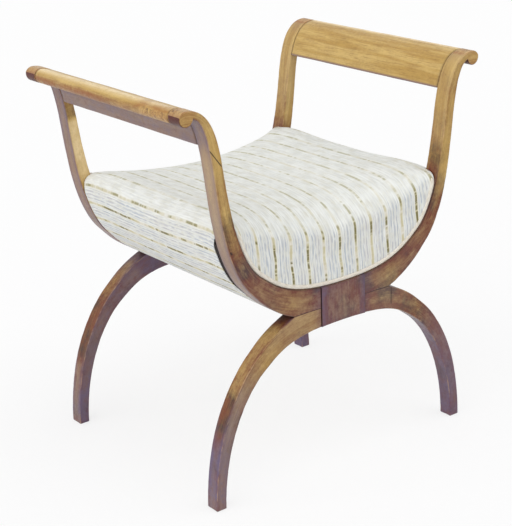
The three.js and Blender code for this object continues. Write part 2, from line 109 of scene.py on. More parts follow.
def curveAlong(curve, place):
    step = 0.002
    ahead = curvePoint(curve, np.minimum(np.asarray(place) + step, 1))
    along = ahead - curvePoint(curve, np.maximum(np.asarray(place) - step, 0))
    return along / np.linalg.norm(along, axis=-1, keepdims=True)


def smoothTable(table, place):
    keys, values = np.array(table, float).T
    low, high = np.maximum(np.arange(len(keys)) - 1, 0), np.minimum(np.arange(len(keys)) + 1, len(keys) - 1)
    slopes = (values[high] - values[low]) / (keys[high] - keys[low])
    i = np.clip(np.searchsorted(keys, place, side="left") - 1, 0, len(keys) - 2)
    gap = keys[i + 1] - keys[i]
    t = (place - keys[i]) / gap
    ease = t * t * (3 - 2 * t)
    lift = (t - 2 * t * t + t ** 3) * slopes[i] + (t ** 3 - t * t) * slopes[i + 1]
    return values[i] + (values[i + 1] - values[i]) * ease + gap * lift


armFace = bezierChain(armFaceShares, armReach, shape["armRise"], dishHeight)
arch = bezierChain(archShares, shape["archSpan"] / 2, shape["archHeight"], 0)


def armWidth(place):
    root, upright, neck = shape["armRootWidth"], shape["armUprightWidth"], shape["armNeckWidth"]
    body = upright + (root - upright) * smoothTable(armTaperShares, place)
    return body + (neck - upright) * smoothTable(neckTaperShares, place)


def legWidth(place):
    foot, root = shape["footWidth"], shape["legRootWidth"]
    return foot + (root - foot) * smoothTable(legTaperShares, place)


def besideCurve(curve, place, distance):
    along = curveAlong(curve, place)
    side = np.stack([-along[..., 1], along[..., 0]], -1)
    return curvePoint(curve, place) + side * np.asarray(distance)[..., None]


def onFace(place, lift=0.0):
    return besideCurve(armFace, place, np.zeros(np.shape(place)) + lift)


def onArmEdge(place, inset=0.0):
    return besideCurve(armFace, place, inset - armWidth(place))


def onLegEdge(place):
    return besideCurve(arch, place, legWidth(place))


def placeWhere(measure, value):
    low, high = 0.0, 1.0
    rising = measure(high) > measure(low)
    for _ in range(50):
        middle = (low + high) / 2
        if (measure(middle) > value) == rising:
            high = middle
        else:
            low = middle
    return (low + high) / 2


blockPlace = placeWhere(lambda p: curvePoint(armFace, p)[0], blockHalf + fit)
blockArchPlace = placeWhere(lambda p: curvePoint(arch, p)[0], blockHalf + fit)
armNotchPlace = placeWhere(lambda p: onArmEdge(np.array(p))[1], upperJoint)
legNotchPlace = placeWhere(lambda p: onLegEdge(np.array(p))[1], lowerJoint)
rollCentre = np.array((armReach, overallHeight - shape["rollRadius"]))
rollNotchPlace = placeWhere(
    lambda p: np.linalg.norm(onArmEdge(np.array(p)) - rollCentre), shape["rollRadius"]
)
crestPlace = placeWhere(lambda p: curvePoint(armFace, p)[1], overallHeight - shape["crestDepth"])


# Meshes

def linked(name, data):
    item = bpy.data.objects.new(name, data)
    bpy.context.scene.collection.objects.link(item)
    return item


# A mesh of quads, smooth but for the flat caps at its ends, with a vector of each kind at every point
def makePiece(name, points, faces, vectors):
    mesh = bpy.data.meshes.new(name)
    mesh.from_pydata(np.asarray(points).reshape(-1, 3).tolist(), [], faces)
    for key, values in vectors.items():
        layer = mesh.attributes.new(key, "FLOAT_VECTOR", "POINT")
        layer.data.foreach_set("vector", np.asarray(values, np.float32).reshape(-1))
    for face in mesh.polygons:
        face.use_smooth = len(face.vertices) <= 4
    mesh.update()
    return linked(name, mesh)


def smoothShaded(piece):
    for face in piece.data.polygons:
        face.use_smooth = True


# Faces of a closed tube with a cap at each end
def tubeFaces(count, around):
    index = np.arange(count * around).reshape(count, around)
    a, b = index[:-1], index[1:]
    quads = np.stack([a, np.roll(a, -1, 1), np.roll(b, -1, 1), b], -1).reshape(-1, 4).tolist()
    return quads + [index[0][::-1].tolist(), index[-1].tolist()]


def gridFaces(index):
    a, b = index[:-1], index[1:]
    return np.stack([a[:, :-1], a[:, 1:], b[:, 1:], b[:, :-1]], -1).reshape(-1, 4).tolist()


def outward(points, faces):
    points = np.asarray(points).reshape(-1, 3)
    total = 0.0
    for face in faces:
        corners = points[face]
        for k in range(1, len(face) - 1):
            total += float(corners[0] @ np.cross(corners[k], corners[k + 1]))
    return faces if total > 0 else [face[::-1] for face in faces]


# Points from their three coordinates, each given for every point or for a row or column alone
def stacked(x, y, z):
    return np.stack(np.broadcast_arrays(x, y, z), -1).astype(float)


def ripple(points, scale, seed):
    offset = Vector((seed * 3.7, seed * 1.3, seed * 2.1))
    return np.array([noise.noise(Vector(p) * scale + offset) for p in points.reshape(-1, 3)])


# Bars of the frames: each station is a pair of points, on the inner line and on the outer line

barLook = {
    "arris": 0.0019,  # radius of the worn long edges
    "jointArris": 0.0004,  # radius where two pieces meet
    "cornerSteps": 4,
    "acrossPlaces": (0.06, 0.25, 0.5, 0.75, 0.94),
    "wear": 0.0005,
    "wave": 0.00015,
    "footEase": 0.0022,  # the feet's worn lower edges
    "jointDark": 0.9,
    # darkening in the notch past the arm-to-leg joint: dirt and painted shade
    "notchDirtAndShade": 0.85,
    "weltDirtAndShade": 0.65,  # dirt and painted shade in the edge beside the piping
    "lipDark": 0.15,  # dirt round the outside of the rounded lips
    "lipPitted": 0.75,  # old varnish and pits on the lips' inner faces
    "lipPittedFront": 0.25,
    "edgeFilm": 0.35,  # purple along the edges of the outer faces
    "edgeStain": 0.2,
}
# A bar's four rounded corners: inner or outer line, low or high side, angle where each starts
barTurns = [(0, 0, 180), (1, 0, 270), (1, 1, 0), (0, 1, 90)]


def ringTemplate():
    ring = []
    for k, (side, depth, start) in enumerate(barTurns):
        steps = barLook["cornerSteps"]
        ring += [("corner", side, depth, math.radians(start + 90 * i / steps)) for i in range(steps + 1)]
        following = barTurns[(k + 1) % 4]
        ring += [("edge", k, following, share) for share in barLook["acrossPlaces"]]
    return ring


barRing = ringTemplate()


# Each ring point's share in the four faces (frame's face, outer, seat's side, inner), and in a corner
def ringShares():
    faces, corners = np.zeros((len(barRing), 4)), np.zeros(len(barRing))
    steps = barLook["cornerSteps"]
    for i, item in enumerate(barRing):
        turn, within = divmod(i, steps + 1 + len(barLook["acrossPlaces"]))
        if item[0] == "edge":
            faces[i, item[1]] = 1
        else:
            faces[i, (turn + 3) % 4] = 1 - within / steps
            faces[i, turn] += within / steps
            corners[i] = math.sin(math.pi * within / steps)
    return faces, corners


ringFaces, ringCorners = ringShares()


def barRings(inner, outer, lowY, highY, innerArris, outerArris):
    gap = outer - inner
    width = np.linalg.norm(gap, axis=1)
    way = gap / np.maximum(width, 1e-6)[:, None]
    depth = highY - lowY
    radius = np.stack([np.minimum(innerArris, width * 0.45), np.minimum(outerArris, width * 0.45)])

    def corner(side, deep, angle):
        r = radius[side]
        middle = r if side == 0 else width - r
        centreY = r if deep == 0 else depth - r
        return np.stack([middle + r * math.cos(angle), centreY + r * math.sin(angle)], -1)

    flat = []
    for item in barRing:
        if item[0] == "corner":
            flat.append(corner(*item[1:]))
        else:
            side, deep, start = barTurns[item[1]]
            a = corner(side, deep, math.radians(start + 90))
            b = corner(item[2][0], item[2][1], math.radians(item[2][2]))
            flat.append(a + (b - a) * item[3])
    flat = np.stack(flat, 1)  # stations, ring, (across, depth)
    xs, zs = [inner[:, None, k] + way[:, None, k] * flat[..., 0] for k in (0, 1)]
    return stacked(xs, lowY + flat[..., 1], zs), flat


# A slightly smaller ring at each end, so that a joint shows as a fine line, and two close rings behind it.
# The places say where each ring lies between the stations, so that other values can be spread the same way.
def easedEnds(rings, easing, endEasing):
    near, far = 0.12, 0.34  # how far behind an end the two close rings lie
    step = min(0.46, endEasing / float(np.linalg.norm(rings[-1].mean(0) - rings[-2].mean(0))))
    last = len(rings) - 1
    closing = [last - max(far, 2 * step), last - max(near, step), last]
    places = np.r_[0, near, far, np.arange(1, last), closing]
    whole = np.minimum(places.astype(int), last - 1)
    part = places - whole
    spread = [rings[i] + (rings[i + 1] - rings[i]) * p for i, p in zip(whole, part)]
    for index, amount in ((0, easing), (-1, endEasing)):
        end = spread[index]
        toMiddle = end.mean(0) - end
        size = np.linalg.norm(toMiddle, axis=1, keepdims=True)
        spread[index] = end + toMiddle * np.minimum(1, amount / np.maximum(size, 1e-6))
    return np.array(spread), places


def atPlaces(values, places):
    return np.interp(places, np.arange(len(values)), values)


# The front right member, moved to the side and the frame that it belongs to
def placed(rings, side, end):
    moved = rings.copy()
    moved[..., 0] *= side
    if end > 0:
        moved[..., 1] *= -1
    return moved


# Small waves all over, and edges rubbed down here and there
def worn(rings, seed):
    points = rings.reshape(-1, 3)
    inwards = rings.mean(1, keepdims=True) - rings
    inwards /= np.maximum(np.linalg.norm(inwards, axis=2, keepdims=True), 1e-6)
    wave = np.abs(ripple(points, 38, seed).reshape(rings.shape[:2]))
    rub = np.clip(ripple(points, 90, seed + 5), 0, 1).reshape(rings.shape[:2])
    amount = wave * barLook["wave"] + rub * barLook["wear"] * ringCorners
    amount[:2] *= 0.2
    amount[-2:] *= 0.2
    return rings + inwards * amount[..., None]


# 1 from the roll's notch to the tip of an arm's rounded lip
def onLip(along):
    place = along / armFace["length"]
    return np.clip((place - 0.95) / 0.02, 0, 1) * np.clip((1.04 - place) / 0.02, 0, 1)


# Dark where two pieces meet: at the block, along the arm-to-leg joint, and in the notch past it; in the notch
# and in the edge beside the piping this is partly dirt, partly painted shade
def jointDirtAndShade(kind, along):
    outerFace = ringFaces[:, 1]
    dirtAndShade = np.zeros((len(along), len(ringFaces)))
    if kind != "leg":
        beyond = np.clip((0.6 * armFace["length"] - along) / 0.05, 0, 1) if kind == "arm" else 1.0
        # Beside the piping: dirt and painted shade
        dirtAndShade[:, 1:barLook["cornerSteps"]] = (barLook["weltDirtAndShade"] * beyond * np.ones(len(along)))[:, None]
        dirtAndShade += barLook["lipDark"] * onLip(along)[:, None] * outerFace
    dirtAndShade[:2] = barLook["jointDark"]
    if kind == "block":
        dirtAndShade[-2:] = barLook["jointDark"]
        return dirtAndShade
    curve, notch, fall = (armFace, armNotchPlace, 0.009) if kind == "arm" else (arch, legNotchPlace, 0.014)
    notchAlong = notch * curve["length"]
    outerCorner = np.minimum(outerFace, 1 - outerFace) * 4  # 1 half way round either outer corner
    beside = np.clip((notchAlong + 0.002 - along) / 0.002, 0, 1)
    # In the notch past the joint: dirt and painted shade
    past = np.exp(-np.maximum(along - notchAlong, 0) / fall) * (along > notchAlong - 0.003)
    dirtAndShade += 0.8 * beside[:, None] * np.clip(outerCorner, 0, 1) * barLook["jointDark"]
    dirtAndShade = np.maximum(dirtAndShade, barLook["notchDirtAndShade"] * past[:, None] * outerFace)
    return np.clip(dirtAndShade, 0, 1)


# Stain, purple film and pale haze (partly a painted reflection) at each point, from a table of places along
# each face
def tonesAlong(places, tables):
    tones = np.zeros((len(places), len(ringFaces), 3))
    for face, table in enumerate(tables):
        keys = np.array(table)
        for channel in range(3):
            along = np.interp(places, keys[:, 0], keys[:, channel + 1])
            tones[..., channel] += along[:, None] * ringFaces[:, face]
    fromMiddle = [1.0 if item[0] == "corner" else abs(item[3] - 0.5) * 2 for item in barRing]
    toEdge = np.array(fromMiddle) ** 2
    tones[..., 1] += barLook["edgeFilm"] * (places < 0.95)[:, None] * toEdge * ringFaces[:, 1]
    tones[..., 0] += barLook["edgeStain"] * toEdge * (ringFaces[:, 0] + ringFaces[:, 1] + ringFaces[:, 2])
    return tones


def barPiece(name, stations, lowY, highY, side, end, tables, seed, kind, shift=(0, 0, 0)):
    inner, outer, along, places, innerArris, outerArris = stations
    rings, flat = barRings(inner, outer, lowY, highY, innerArris, outerArris)
    endEasing = barLook["footEase"] if kind == "leg" else barLook["jointArris"]
    rings, spots = easedEnds(rings, barLook["jointArris"], endEasing)
    flat = np.stack([[atPlaces(flat[:, i, k], spots) for i in range(flat.shape[1])] for k in (0, 1)], -1)
    flat = flat.transpose(1, 0, 2)
    along, places = atPlaces(along, spots), atPlaces(places, spots)
    grain = np.zeros(rings.shape)
    grain[..., 1 if kind == "block" else 0] = along[:, None] + seed * 0.731
    grain[..., 0 if kind == "block" else 1] = flat[..., 0] + seed * 0.17
    grain[..., 2] = flat[..., 1] + seed * 0.29
    tones = tonesAlong(places, tables) + np.array(shift)
    wear = np.zeros(rings.shape)
    # dark joints, with dirt and painted shade in the notch and beside the piping
    wear[..., 2] = jointDirtAndShade(kind, along)
    wear[..., 0] = ringCorners * (1 - np.minimum(1, wear[..., 2] * 2))
    if kind == "arm":
        pitted = barLook["lipPitted"] * ringFaces[:, 3] + barLook["lipPittedFront"] * ringFaces[:, 0]
        wear[..., 1] = onLip(along)[:, None] * pitted
    rings = placed(worn(rings, seed), side, end)
    faces = outward(rings, tubeFaces(*rings.shape[:2]))
    piece = makePiece(name, rings, faces, {"grain": grain, "tone": tones, "wear": wear})
    piece.data.materials.append(woodMaterial)
    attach(piece, "root")
    return piece


rootCount = 18  # stations along the flat joint between an arm and a leg


# Inner and outer lines from the block along the flat joint to the notch, then along the bar to its end
def barLines(curve, onEdge, start, notch, end, jointZ, count):
    barPlaces = np.linspace(notch, end, count)[1:]
    places = np.r_[np.linspace(start, notch, rootCount), barPlaces]
    rootXs = np.linspace(blockHalf + fit, onEdge(np.array(notch))[0], rootCount)
    outer = np.vstack([np.stack([rootXs, np.full(rootCount, jointZ)], -1), onEdge(barPlaces)])
    return curvePoint(curve, places), outer, places * curve["length"]


# All that a bar's rings need: both lines, distances and places along it, and the edges' radii
def barStations(curve, inner, outer, along):
    arris = np.full(len(inner), barLook["arris"])
    outerArris = arris.copy()
    outerArris[:rootCount] = barLook["jointArris"]
    return inner, outer, along, along / curve["length"], arris, outerArris


def armStations():
    lines = barLines(armFace, onArmEdge, blockPlace, armNotchPlace, rollNotchPlace, upperJoint, 104)
    return barStations(armFace, *[np.concatenate(pair) for pair in zip(lines, rollPairs(26))])


# The rounded lip: its upper line along the face and over, its lower line round the roll
def rollPairs(count):
    radius = shape["rollRadius"]
    notch = onArmEdge(np.array(rollNotchPlace)) - rollCentre
    startAngle = math.atan2(notch[1], notch[0]) % (2 * math.pi)
    tipAngle = math.radians(22)
    upper = onFace(np.linspace(rollNotchPlace, 1, 60))
    over = np.linspace(math.pi / 2, tipAngle, 30)[1:]
    upper = np.vstack([upper, rollCentre + radius * np.stack([np.cos(over), np.sin(over)], -1)])
    under = np.linspace(startAngle, 2 * math.pi + tipAngle, 120)
    lower = rollCentre + radius * np.stack([np.cos(under), np.sin(under)], -1)
    shares = np.linspace(0, 0.985, count + 1)[1:]

    def spaced(line):
        run = runAlong(line)
        return np.stack([np.interp(shares * run[-1], run, line[:, k]) for k in (0, 1)], -1), run[-1]

    inner, length = spaced(upper)
    outer, _ = spaced(lower)
    return inner, outer, rollNotchPlace * armFace["length"] + shares * length


def legStations():
    inner, outer, along = barLines(arch, onLegEdge, blockArchPlace, legNotchPlace, 1, lowerJoint, 92)
    outer[-1, 1] = 0.0  # the sole lies on the floor
    return barStations(arch, inner, outer, along)


def blockStations():
    xs = np.linspace(-blockHalf, blockHalf, 34)
    faceX, archX = armFace["line"], arch["line"]
    top = np.stack([xs, np.interp(np.abs(xs), faceX[:400, 0], faceX[:400, 1])], -1)
    bottom = np.stack([xs, np.interp(np.abs(xs), archX[:400, 0], archX[:400, 1])], -1)
    arris = np.full(len(xs), 0.0012)
    return top, bottom, xs + blockHalf, (xs + blockHalf) / shape["blockWidth"], arris, arris


# Materials

def hexColor(text):
    values = [int(text[i:i + 2], 16) / 255 for i in (1, 3, 5)]
    return tuple(v / 12.92 if v <= 0.04045 else ((v + 0.055) / 1.055) ** 2.4 for v in values) + (1.0,)


# Fields are linked to a node's inputs, and plain values are set on them
def plug(node, values):
    for key, value in values.items():
        if isinstance(value, Field):
            value.tree.links.new(value.socket, node.inputs[key])
        else:
            node.inputs[key].default_value = value


def addNode(tree, kind, values, output=0, **settings):
    node = tree.nodes.new("ShaderNode" + kind)
    for key, setting in settings.items():
        setattr(node, key, setting)
    plug(node, values)
    return Field(tree, node.outputs[output])


# A value in a material's node tree; each step of arithmetic on it adds a node
class Field:
    def __init__(self, tree, socket):
        self.tree = tree
        self.socket = socket

    def calc(self, operation, *others, clamp=False):
        values = dict(enumerate((self, *others)))
        return addNode(self.tree, "Math", values, operation=operation, use_clamp=clamp)

    def __add__(self, other):
        return self.calc("ADD", other)

    def __sub__(self, other):
        return self.calc("SUBTRACT", other)

    def __rsub__(self, other):
        return addNode(self.tree, "Math", {0: other, 1: self}, operation="SUBTRACT")

    def __mul__(self, other):
        return self.calc("MULTIPLY", other)

    def __truediv__(self, other):
        return self.calc("DIVIDE", other)

    def most(self, *others):
        result = self
        for other in others:
            result = result.calc("MAXIMUM", other)
        return result

    # A sine wave with this much of the field to one turn
    def wave(self, length):
        return (self * (2 * math.pi / length)).calc("SINE")

    def fromTo(self, low, high, toLow=0.0, toHigh=1.0):
        values = dict(enumerate((self, low, high, toLow, toHigh)))
        return addNode(self.tree, "MapRange", values, interpolation_type="SMOOTHSTEP")

    # The first colour where the field is 0, the second where it is 1
    def between(self, first, second):
        colors = [hexColor(color) if isinstance(color, str) else color for color in (first, second)]
        return addNode(self.tree, "Mix", {0: self, 6: colors[0], 7: colors[1]}, 2, data_type="RGBA")

    def vector(self, operation, other, output=0):
        return addNode(self.tree, "VectorMath", {0: self, 1: other}, output, operation=operation)

    def split(self):
        node = self.tree.nodes.new("ShaderNodeSeparateXYZ")
        plug(node, {0: self})
        return [Field(self.tree, socket) for socket in node.outputs]

    def noise(self, sizes, detail, roughness=0.55, distortion=0.0):
        place = self.vector("MULTIPLY", sizes) if sizes else self
        return addNode(self.tree, "TexNoise", {
            "Vector": place, "Scale": 1.0, "Detail": detail, "Roughness": roughness, "Distortion": distortion,
        })

    def bump(self, strength, distance):
        return addNode(self.tree, "Bump", {"Strength": strength, "Distance": distance, "Height": self})


def attributeField(tree, name):
    return addNode(tree, "Attribute", {}, "Vector", attribute_name=name)


def objectPlace(tree):
    return addNode(tree, "TexCoord", {}, "Object")


def joined(x, y, z):
    return addNode(x.tree, "CombineXYZ", {0: x, 1: y, 2: z})


def startMaterial(name):
    material = bpy.data.materials.new(name)
    material.use_nodes = True
    return material, material.node_tree, material.node_tree.nodes["Principled BSDF"]


woodLook = {
    "gold": "#B8944D",
    "straw": "#CDAD69",
    "fleck": "#86602F",
    "stain": "#6B3014",
    "umber": "#42251B",  # the darker half of the stain
    "deep": "#54190E",  # where the stain is more than 1.4, under the lips
    "paintedHighlight": "#EED6A6",  # painted highlight colour, shown where the stain is less than none
    "film": "#655672",  # purple where old polish is thick
    "hazeAndReflection": "#AC9683",  # pale wax on the outer faces, partly a painted reflection of the side light
    "rubbed": "#CFAE80",  # light wood where an edge is worn through
    "pore": "#2A160D",
    "pit": "#4A2A14",
    "amber": "#975A24",  # old varnish round the pits
    "chipped": "#DDBB74",  # clean wood between them
    "smear": "#CFC2A4",
    "roughness": (0.34, 0.55),
    "specular": 0.32,
    "coat": 0.14,
    "coatRoughness": 0.16,
}
# Dark cracks and knots: start, end and half width, in metres
cracks = [
    ((-0.2590, -0.2275, 0.6063), (-0.2387, -0.2275, 0.5792), 0.0007),
    ((-0.2280, -0.2275, 0.4375), (-0.2262, -0.2275, 0.4345), 0.0012),
    ((0.1084, -0.2275, 0.2958), (0.1084, -0.2275, 0.2640), 0.0008),
    ((0.2899, 0.0835, 0.6550), (0.2901, 0.0865, 0.6550), 0.0011),
]
# Pale smears and scratches
smears = [
    ((0.2800, 0.105, 0.6390), (0.2935, 0.066, 0.6725), 0.0030),
    ((0.2185, -0.2275, 0.4832), (0.2126, -0.2275, 0.4622), 0.0007),
]


# 1 inside the mark, 0 outside, by the distance from a line between two points
def markShare(place, mark):
    start, end, half = Vector(mark[0]), Vector(mark[1]), mark[2]
    way = end - start
    offset = place.vector("SUBTRACT", start)
    share = offset.vector("DOT_PRODUCT", way / way.length_squared, "Value").calc("MULTIPLY", 1.0, clamp=True)
    nearest = addNode(place.tree, "VectorMath", {0: way, "Scale": share}, operation="SCALE")
    return offset.vector("DISTANCE", nearest, "Value").fromTo(half * 0.6, half * 1.8, 1.0, 0.0)


# Each noise's sizes per metre, detail, roughness and distortion
grainNoises = {
    "figure": ((5, 75, 75), 3, 0.55, 0.6),
    "flecks": ((26, 560, 560), 4, 0.62, 0.3),
    "pores": ((120, 2400, 2400), 2, 0.5),
    "blots": ((26, 52, 52), 6, 0.66),
}
placeNoises = {
    "fineBlots": ((170, 170, 170), 4, 0.65),
    "specks": ((430, 430, 430), 2, 0.5),
    "broad": ((19, 19, 19), 3, 0.6),
    "patchy": ((42, 42, 42), 3, 0.6),
    "rough": ((150, 210, 150), 6, 0.8, 0.6),
}


def waxedWood():
    material, tree, shader = startMaterial("waxedWood")
    grain, tone, wear = [attributeField(tree, name) for name in ("grain", "tone", "wear")]
    stain, film, hazeAndReflection = tone.split()
    edge, varnished, dirtAndShade = wear.split()
    place = objectPlace(tree)
    figure, flecks, pores, blots = [grain.noise(*values) for values in grainNoises.values()]
    fineBlots, specks, broad, patchy, rough = [place.noise(*values) for values in placeNoises.values()]
    uneven = blots * 1.7 + fineBlots * 0.7 - 1.2
    spread = stain.fromTo(0.0, 0.35, 0.4, 1.0)  # clean gold parts are mottled less
    stained = stain.calc("ADD", uneven * spread, clamp=True)
    # Negative stain paints a highlight in the pale highlight colour
    paintedHighlight = stain.calc("MULTIPLY", -1.0, clamp=True)
    pale = markShare(place, smears[0]).most(*[markShare(place, mark) for mark in smears[1:]])
    worst = varnished.fromTo(0.55, 0.85)
    pitted = (rough + worst * 0.09).fromTo(0.6, 0.72) * varnished.fromTo(0.1, 0.5)
    # The third wear value: dark joints and cracks, with dirt and painted shade in the notch and beside the
    # piping
    sunkAndShaded = dirtAndShade.most(*[markShare(place, mark) for mark in cracks])
    base = figure.fromTo(0.36, 0.64).between(woodLook["gold"], woodLook["straw"])
    dark = broad.fromTo(0.46, 0.68).between(woodLook["stain"], woodLook["umber"])
    layers = [
        (flecks.fromTo(0.47, 0.72, 0, 0.5), woodLook["fleck"]),
        (paintedHighlight * uneven.fromTo(-0.25, 0.25, 1.0, 0.6), woodLook["paintedHighlight"]),
        (stained * flecks.fromTo(0.3, 0.6, 0.84, 1.0), dark),
        (stain.fromTo(1.4, 2.2, 0.0, 0.9), woodLook["deep"]),
        # pale haze: partly wax, partly a painted reflection of the side light
        (hazeAndReflection * fineBlots.fromTo(0.3, 0.7, 0.72, 1.0), woodLook["hazeAndReflection"]),
        (film * uneven.fromTo(-0.3, 0.3, 1.0, 0.5), woodLook["film"]),
        (pores.fromTo(0.56, 0.72, 0, 0.3), woodLook["pore"]),
        (specks.fromTo(0.66, 0.74, 0, 0.45), woodLook["pore"]),
        (edge * patchy.fromTo(0.4, 0.66, 0.0, 0.42), woodLook["rubbed"]),
        (pale * 0.55, woodLook["smear"]),
        (varnished.fromTo(0.0, 0.55, 0.0, 0.65) * blots.fromTo(0.36, 0.6, 0.4, 1.0), woodLook["amber"]),
        (worst * rough.fromTo(0.4, 0.5, 0.55, 0.25), woodLook["chipped"]),
        (pitted * 0.85, woodLook["pit"]),
        (sunkAndShaded * 0.92, woodLook["pore"]),
    ]
    for share, color in layers:
        base = share.between(base, color)
    rise = pores * -0.5 + flecks * -0.4 - pitted.most(sunkAndShaded) * 1.2 + patchy * 0.8
    plug(shader, {
        "Base Color": base,
        "Roughness": fineBlots.fromTo(0.3, 0.7, *woodLook["roughness"]),
        "Specular IOR Level": woodLook["specular"],
        "Coat Weight": woodLook["coat"],
        "Coat Roughness": woodLook["coatRoughness"],
        "Normal": rise.bump(0.4, 0.0005),
    })
    return material


# Bare wood for hidden pieces, or wood in the given colours, with its grain along one axis
def sawnWood(name, along, colors=("#C9A675", "#9A7444", "#7C5A34")):
    material, tree, shader = startMaterial(name)
    place = objectPlace(tree)
    streaks = place.noise(tuple(22 if i == along else 420 for i in range(3)), 4, 0.6, 0.8)
    marks = place.noise(tuple(900 if i == along else 90 for i in range(3)), 2, 0.5)
    base = streaks.fromTo(0.35, 0.7).between(colors[0], colors[1])
    base = marks.fromTo(0.5, 0.7, 0, 0.3).between(base, colors[2])
    plug(shader, {"Base Color": base, "Roughness": 0.75, "Normal": streaks.bump(0.5, 0.0005)})
    return material


clothLook = {
    "ground": "#E0E2DD",
    "warm": "#DBD9C9",
    "white": "#F0F2EE",
    "gold": "#C6BD92",
    "goldMargin": "#E0D8C6",
    "dash": "#696227",
    "dashFaint": "#9F9A6C",
    "greyBlue": "#B2B8C2",
    "greyLilac": "#BFBDC0",
    "firstStripe": 0.001,  # place of the gold stripe nearest the middle
    "pitch": 0.0345,  # from one gold stripe to the next
    "goldHalf": 0.0020,
    "dashHalf": 0.0022,
    "marginHalf": 0.0046,
    "thread": 0.00055,
}
# Strength of the grey lines, by the distance from a gold stripe as a share of half the pitch
greyLines = [
    (0.0, 0), (0.27, 0), (0.33, 0.5), (0.39, 0.5), (0.44, 0), (0.5, 0), (0.56, 0.95), (0.67, 0.95),
    (0.73, 0.1), (0.85, 0.1), (0.91, 0.75), (1.0, 0.8),
]


def ramp(factor, stops):
    result = addNode(factor.tree, "ValToRGB", {0: factor})
    elements = result.socket.node.color_ramp.elements
    while len(elements) < len(stops):
        elements.new(0.5)
    for element, (place, value) in zip(elements, stops):
        element.position = place
        element.color = (value, value, value, 1)
    return result


def stripedCloth():
    material, tree, shader = startMaterial("stripedCloth")
    stripe, run, fade = attributeField(tree, "weave").split()
    pitch, dashHalf, thread = clothLook["pitch"], clothLook["dashHalf"], clothLook["thread"]

    def weaveNoise(acrossScale, runScale, seed, detail=2.0):
        return joined(stripe * acrossScale, run * runScale, seed).noise(None, detail)

    turns = (stripe - clothLook["firstStripe"]) / pitch
    for runScale, amount in ((24, 0.09), (80, 0.018)):
        turns = turns + (weaveNoise(20, runScale, 0.0) - 0.5) * amount
    number = (turns + 0.5).calc("FLOOR")
    away = (turns - number).calc("ABSOLUTE")  # 0 on a gold stripe, 0.5 between two
    apart = away * pitch

    def alongStripe(perMetre, seed, detail=2.0):
        return joined(number * 7.31, run * perMetre, seed).noise(None, detail)

    strong = 1.0 - fade
    slub = alongStripe(26, 1.0, 3).fromTo(0.47, 0.56)  # dashes, broken again into short ones
    slub = slub * alongStripe(160, 17.0).fromTo(0.34, 0.5)
    present = alongStripe(60, 4.0).fromTo(0.34, 0.56)
    half = alongStripe(110, 21.0).fromTo(0.4, 0.65) * 0.0008 + clothLook["goldHalf"]
    gold = (apart / half).fromTo(0.6, 1.4, 1.0, 0.0)
    core = (apart + (alongStripe(90, 25.0) - 0.5) * 0.0012).calc("ABSOLUTE")
    core = core.fromTo(dashHalf * 0.6, dashHalf * 1.3, 1.0, 0.0)
    margin = apart.fromTo(clothLook["goldHalf"], clothLook["marginHalf"], 1.0, 0.0)

    broken = weaveNoise(300, 60, 9.0, 3)
    fine = weaveNoise(700, 46, 2.0)
    lines = ramp(away * 2.0, greyLines) * broken.fromTo(0.36, 0.58, 0.15, 1.05)
    lines = lines + fine.fromTo(0.52, 0.68, 0.0, 0.3)
    lines = lines.calc("MULTIPLY", strong.fromTo(0.0, 1.0, 0.2, 0.95), clamp=True)
    mottled = weaveNoise(80, 80, 5.0, 4).fromTo(0.35, 0.7, 0, 0.6)
    onFade = fade * weaveNoise(70, 34, 33.0, 4).fromTo(0.38, 0.62, 0.0, 0.65)
    white = weaveNoise(420, 24, 12.0).fromTo(0.47, 0.68, 0, 0.8).calc("ADD", onFade, clamp=True)
    grey = alongStripe(9, 14.0).fromTo(0.4, 0.6).between(clothLook["greyBlue"], clothLook["greyLilac"])
    dash = strong.between(clothLook["dashFaint"], clothLook["dash"])
    base = mottled.between(clothLook["ground"], clothLook["warm"])
    layers = [
        (white, clothLook["white"]),
        (lines, grey),
        (margin * strong.fromTo(0.0, 1.0, 0.1, 0.6), clothLook["goldMargin"]),
        (gold * present * strong.fromTo(0.0, 1.0, 0.3, 0.85), clothLook["gold"]),
        (core * slub * strong.fromTo(0.0, 1.0, 0.65, 0.9), dash),
    ]
    for share, color in layers:
        base = share.between(base, color)
    relief = stripe.wave(thread).most(run.wave(thread)) * 0.3 + gold * 0.7 + broken * 0.8
    plug(shader, {
        "Base Color": base,
        "Roughness": 0.85,
        "Sheen Weight": 0.1,
        "Sheen Roughness": 0.5,
        "Normal": relief.bump(0.35, 0.0004),
    })
    return material


def plainCloth(name, light, dark, thread):
    material, tree, shader = startMaterial(name)
    across, run, _ = attributeField(tree, "weave").split()
    knit = across.wave(thread).most(run.wave(thread))
    patches = joined(across * 160, run * 70, 3.0).noise(None, 4)
    base = patches.fromTo(0.3, 0.7).between(light, dark)
    base = knit.fromTo(-0.3, 0.6, 0.25, 0.0).between(base, dark)
    plug(shader, {
        "Base Color": base,
        "Roughness": 0.88,
        "Sheen Weight": 0.1,
        "Normal": (knit + patches).bump(0.4, 0.0003),
    })
    return material


def looseFibre():
    material, tree, shader = startMaterial("looseFibre")
    strands = objectPlace(tree).noise((260, 180, 260), 6, 0.7, 2.5)
    base = strands.fromTo(0.35, 0.65).between("#4A3A2C", "#1E1612")
    plug(shader, {"Base Color": base, "Roughness": 0.95, "Normal": strands.bump(0.9, 0.002)})
    return material


def screwSteel():
    material, tree, shader = startMaterial("screwSteel")
    scratches = objectPlace(tree).noise((1500, 200, 1500), 3, 0.6)
    base = scratches.fromTo(0.35, 0.7).between("#A3A5A8", "#6C6A66")
    plug(shader, {"Base Color": base, "Metallic": 1.0, "Roughness": scratches.fromTo(0.3, 0.7, 0.3, 0.55)})
    return material


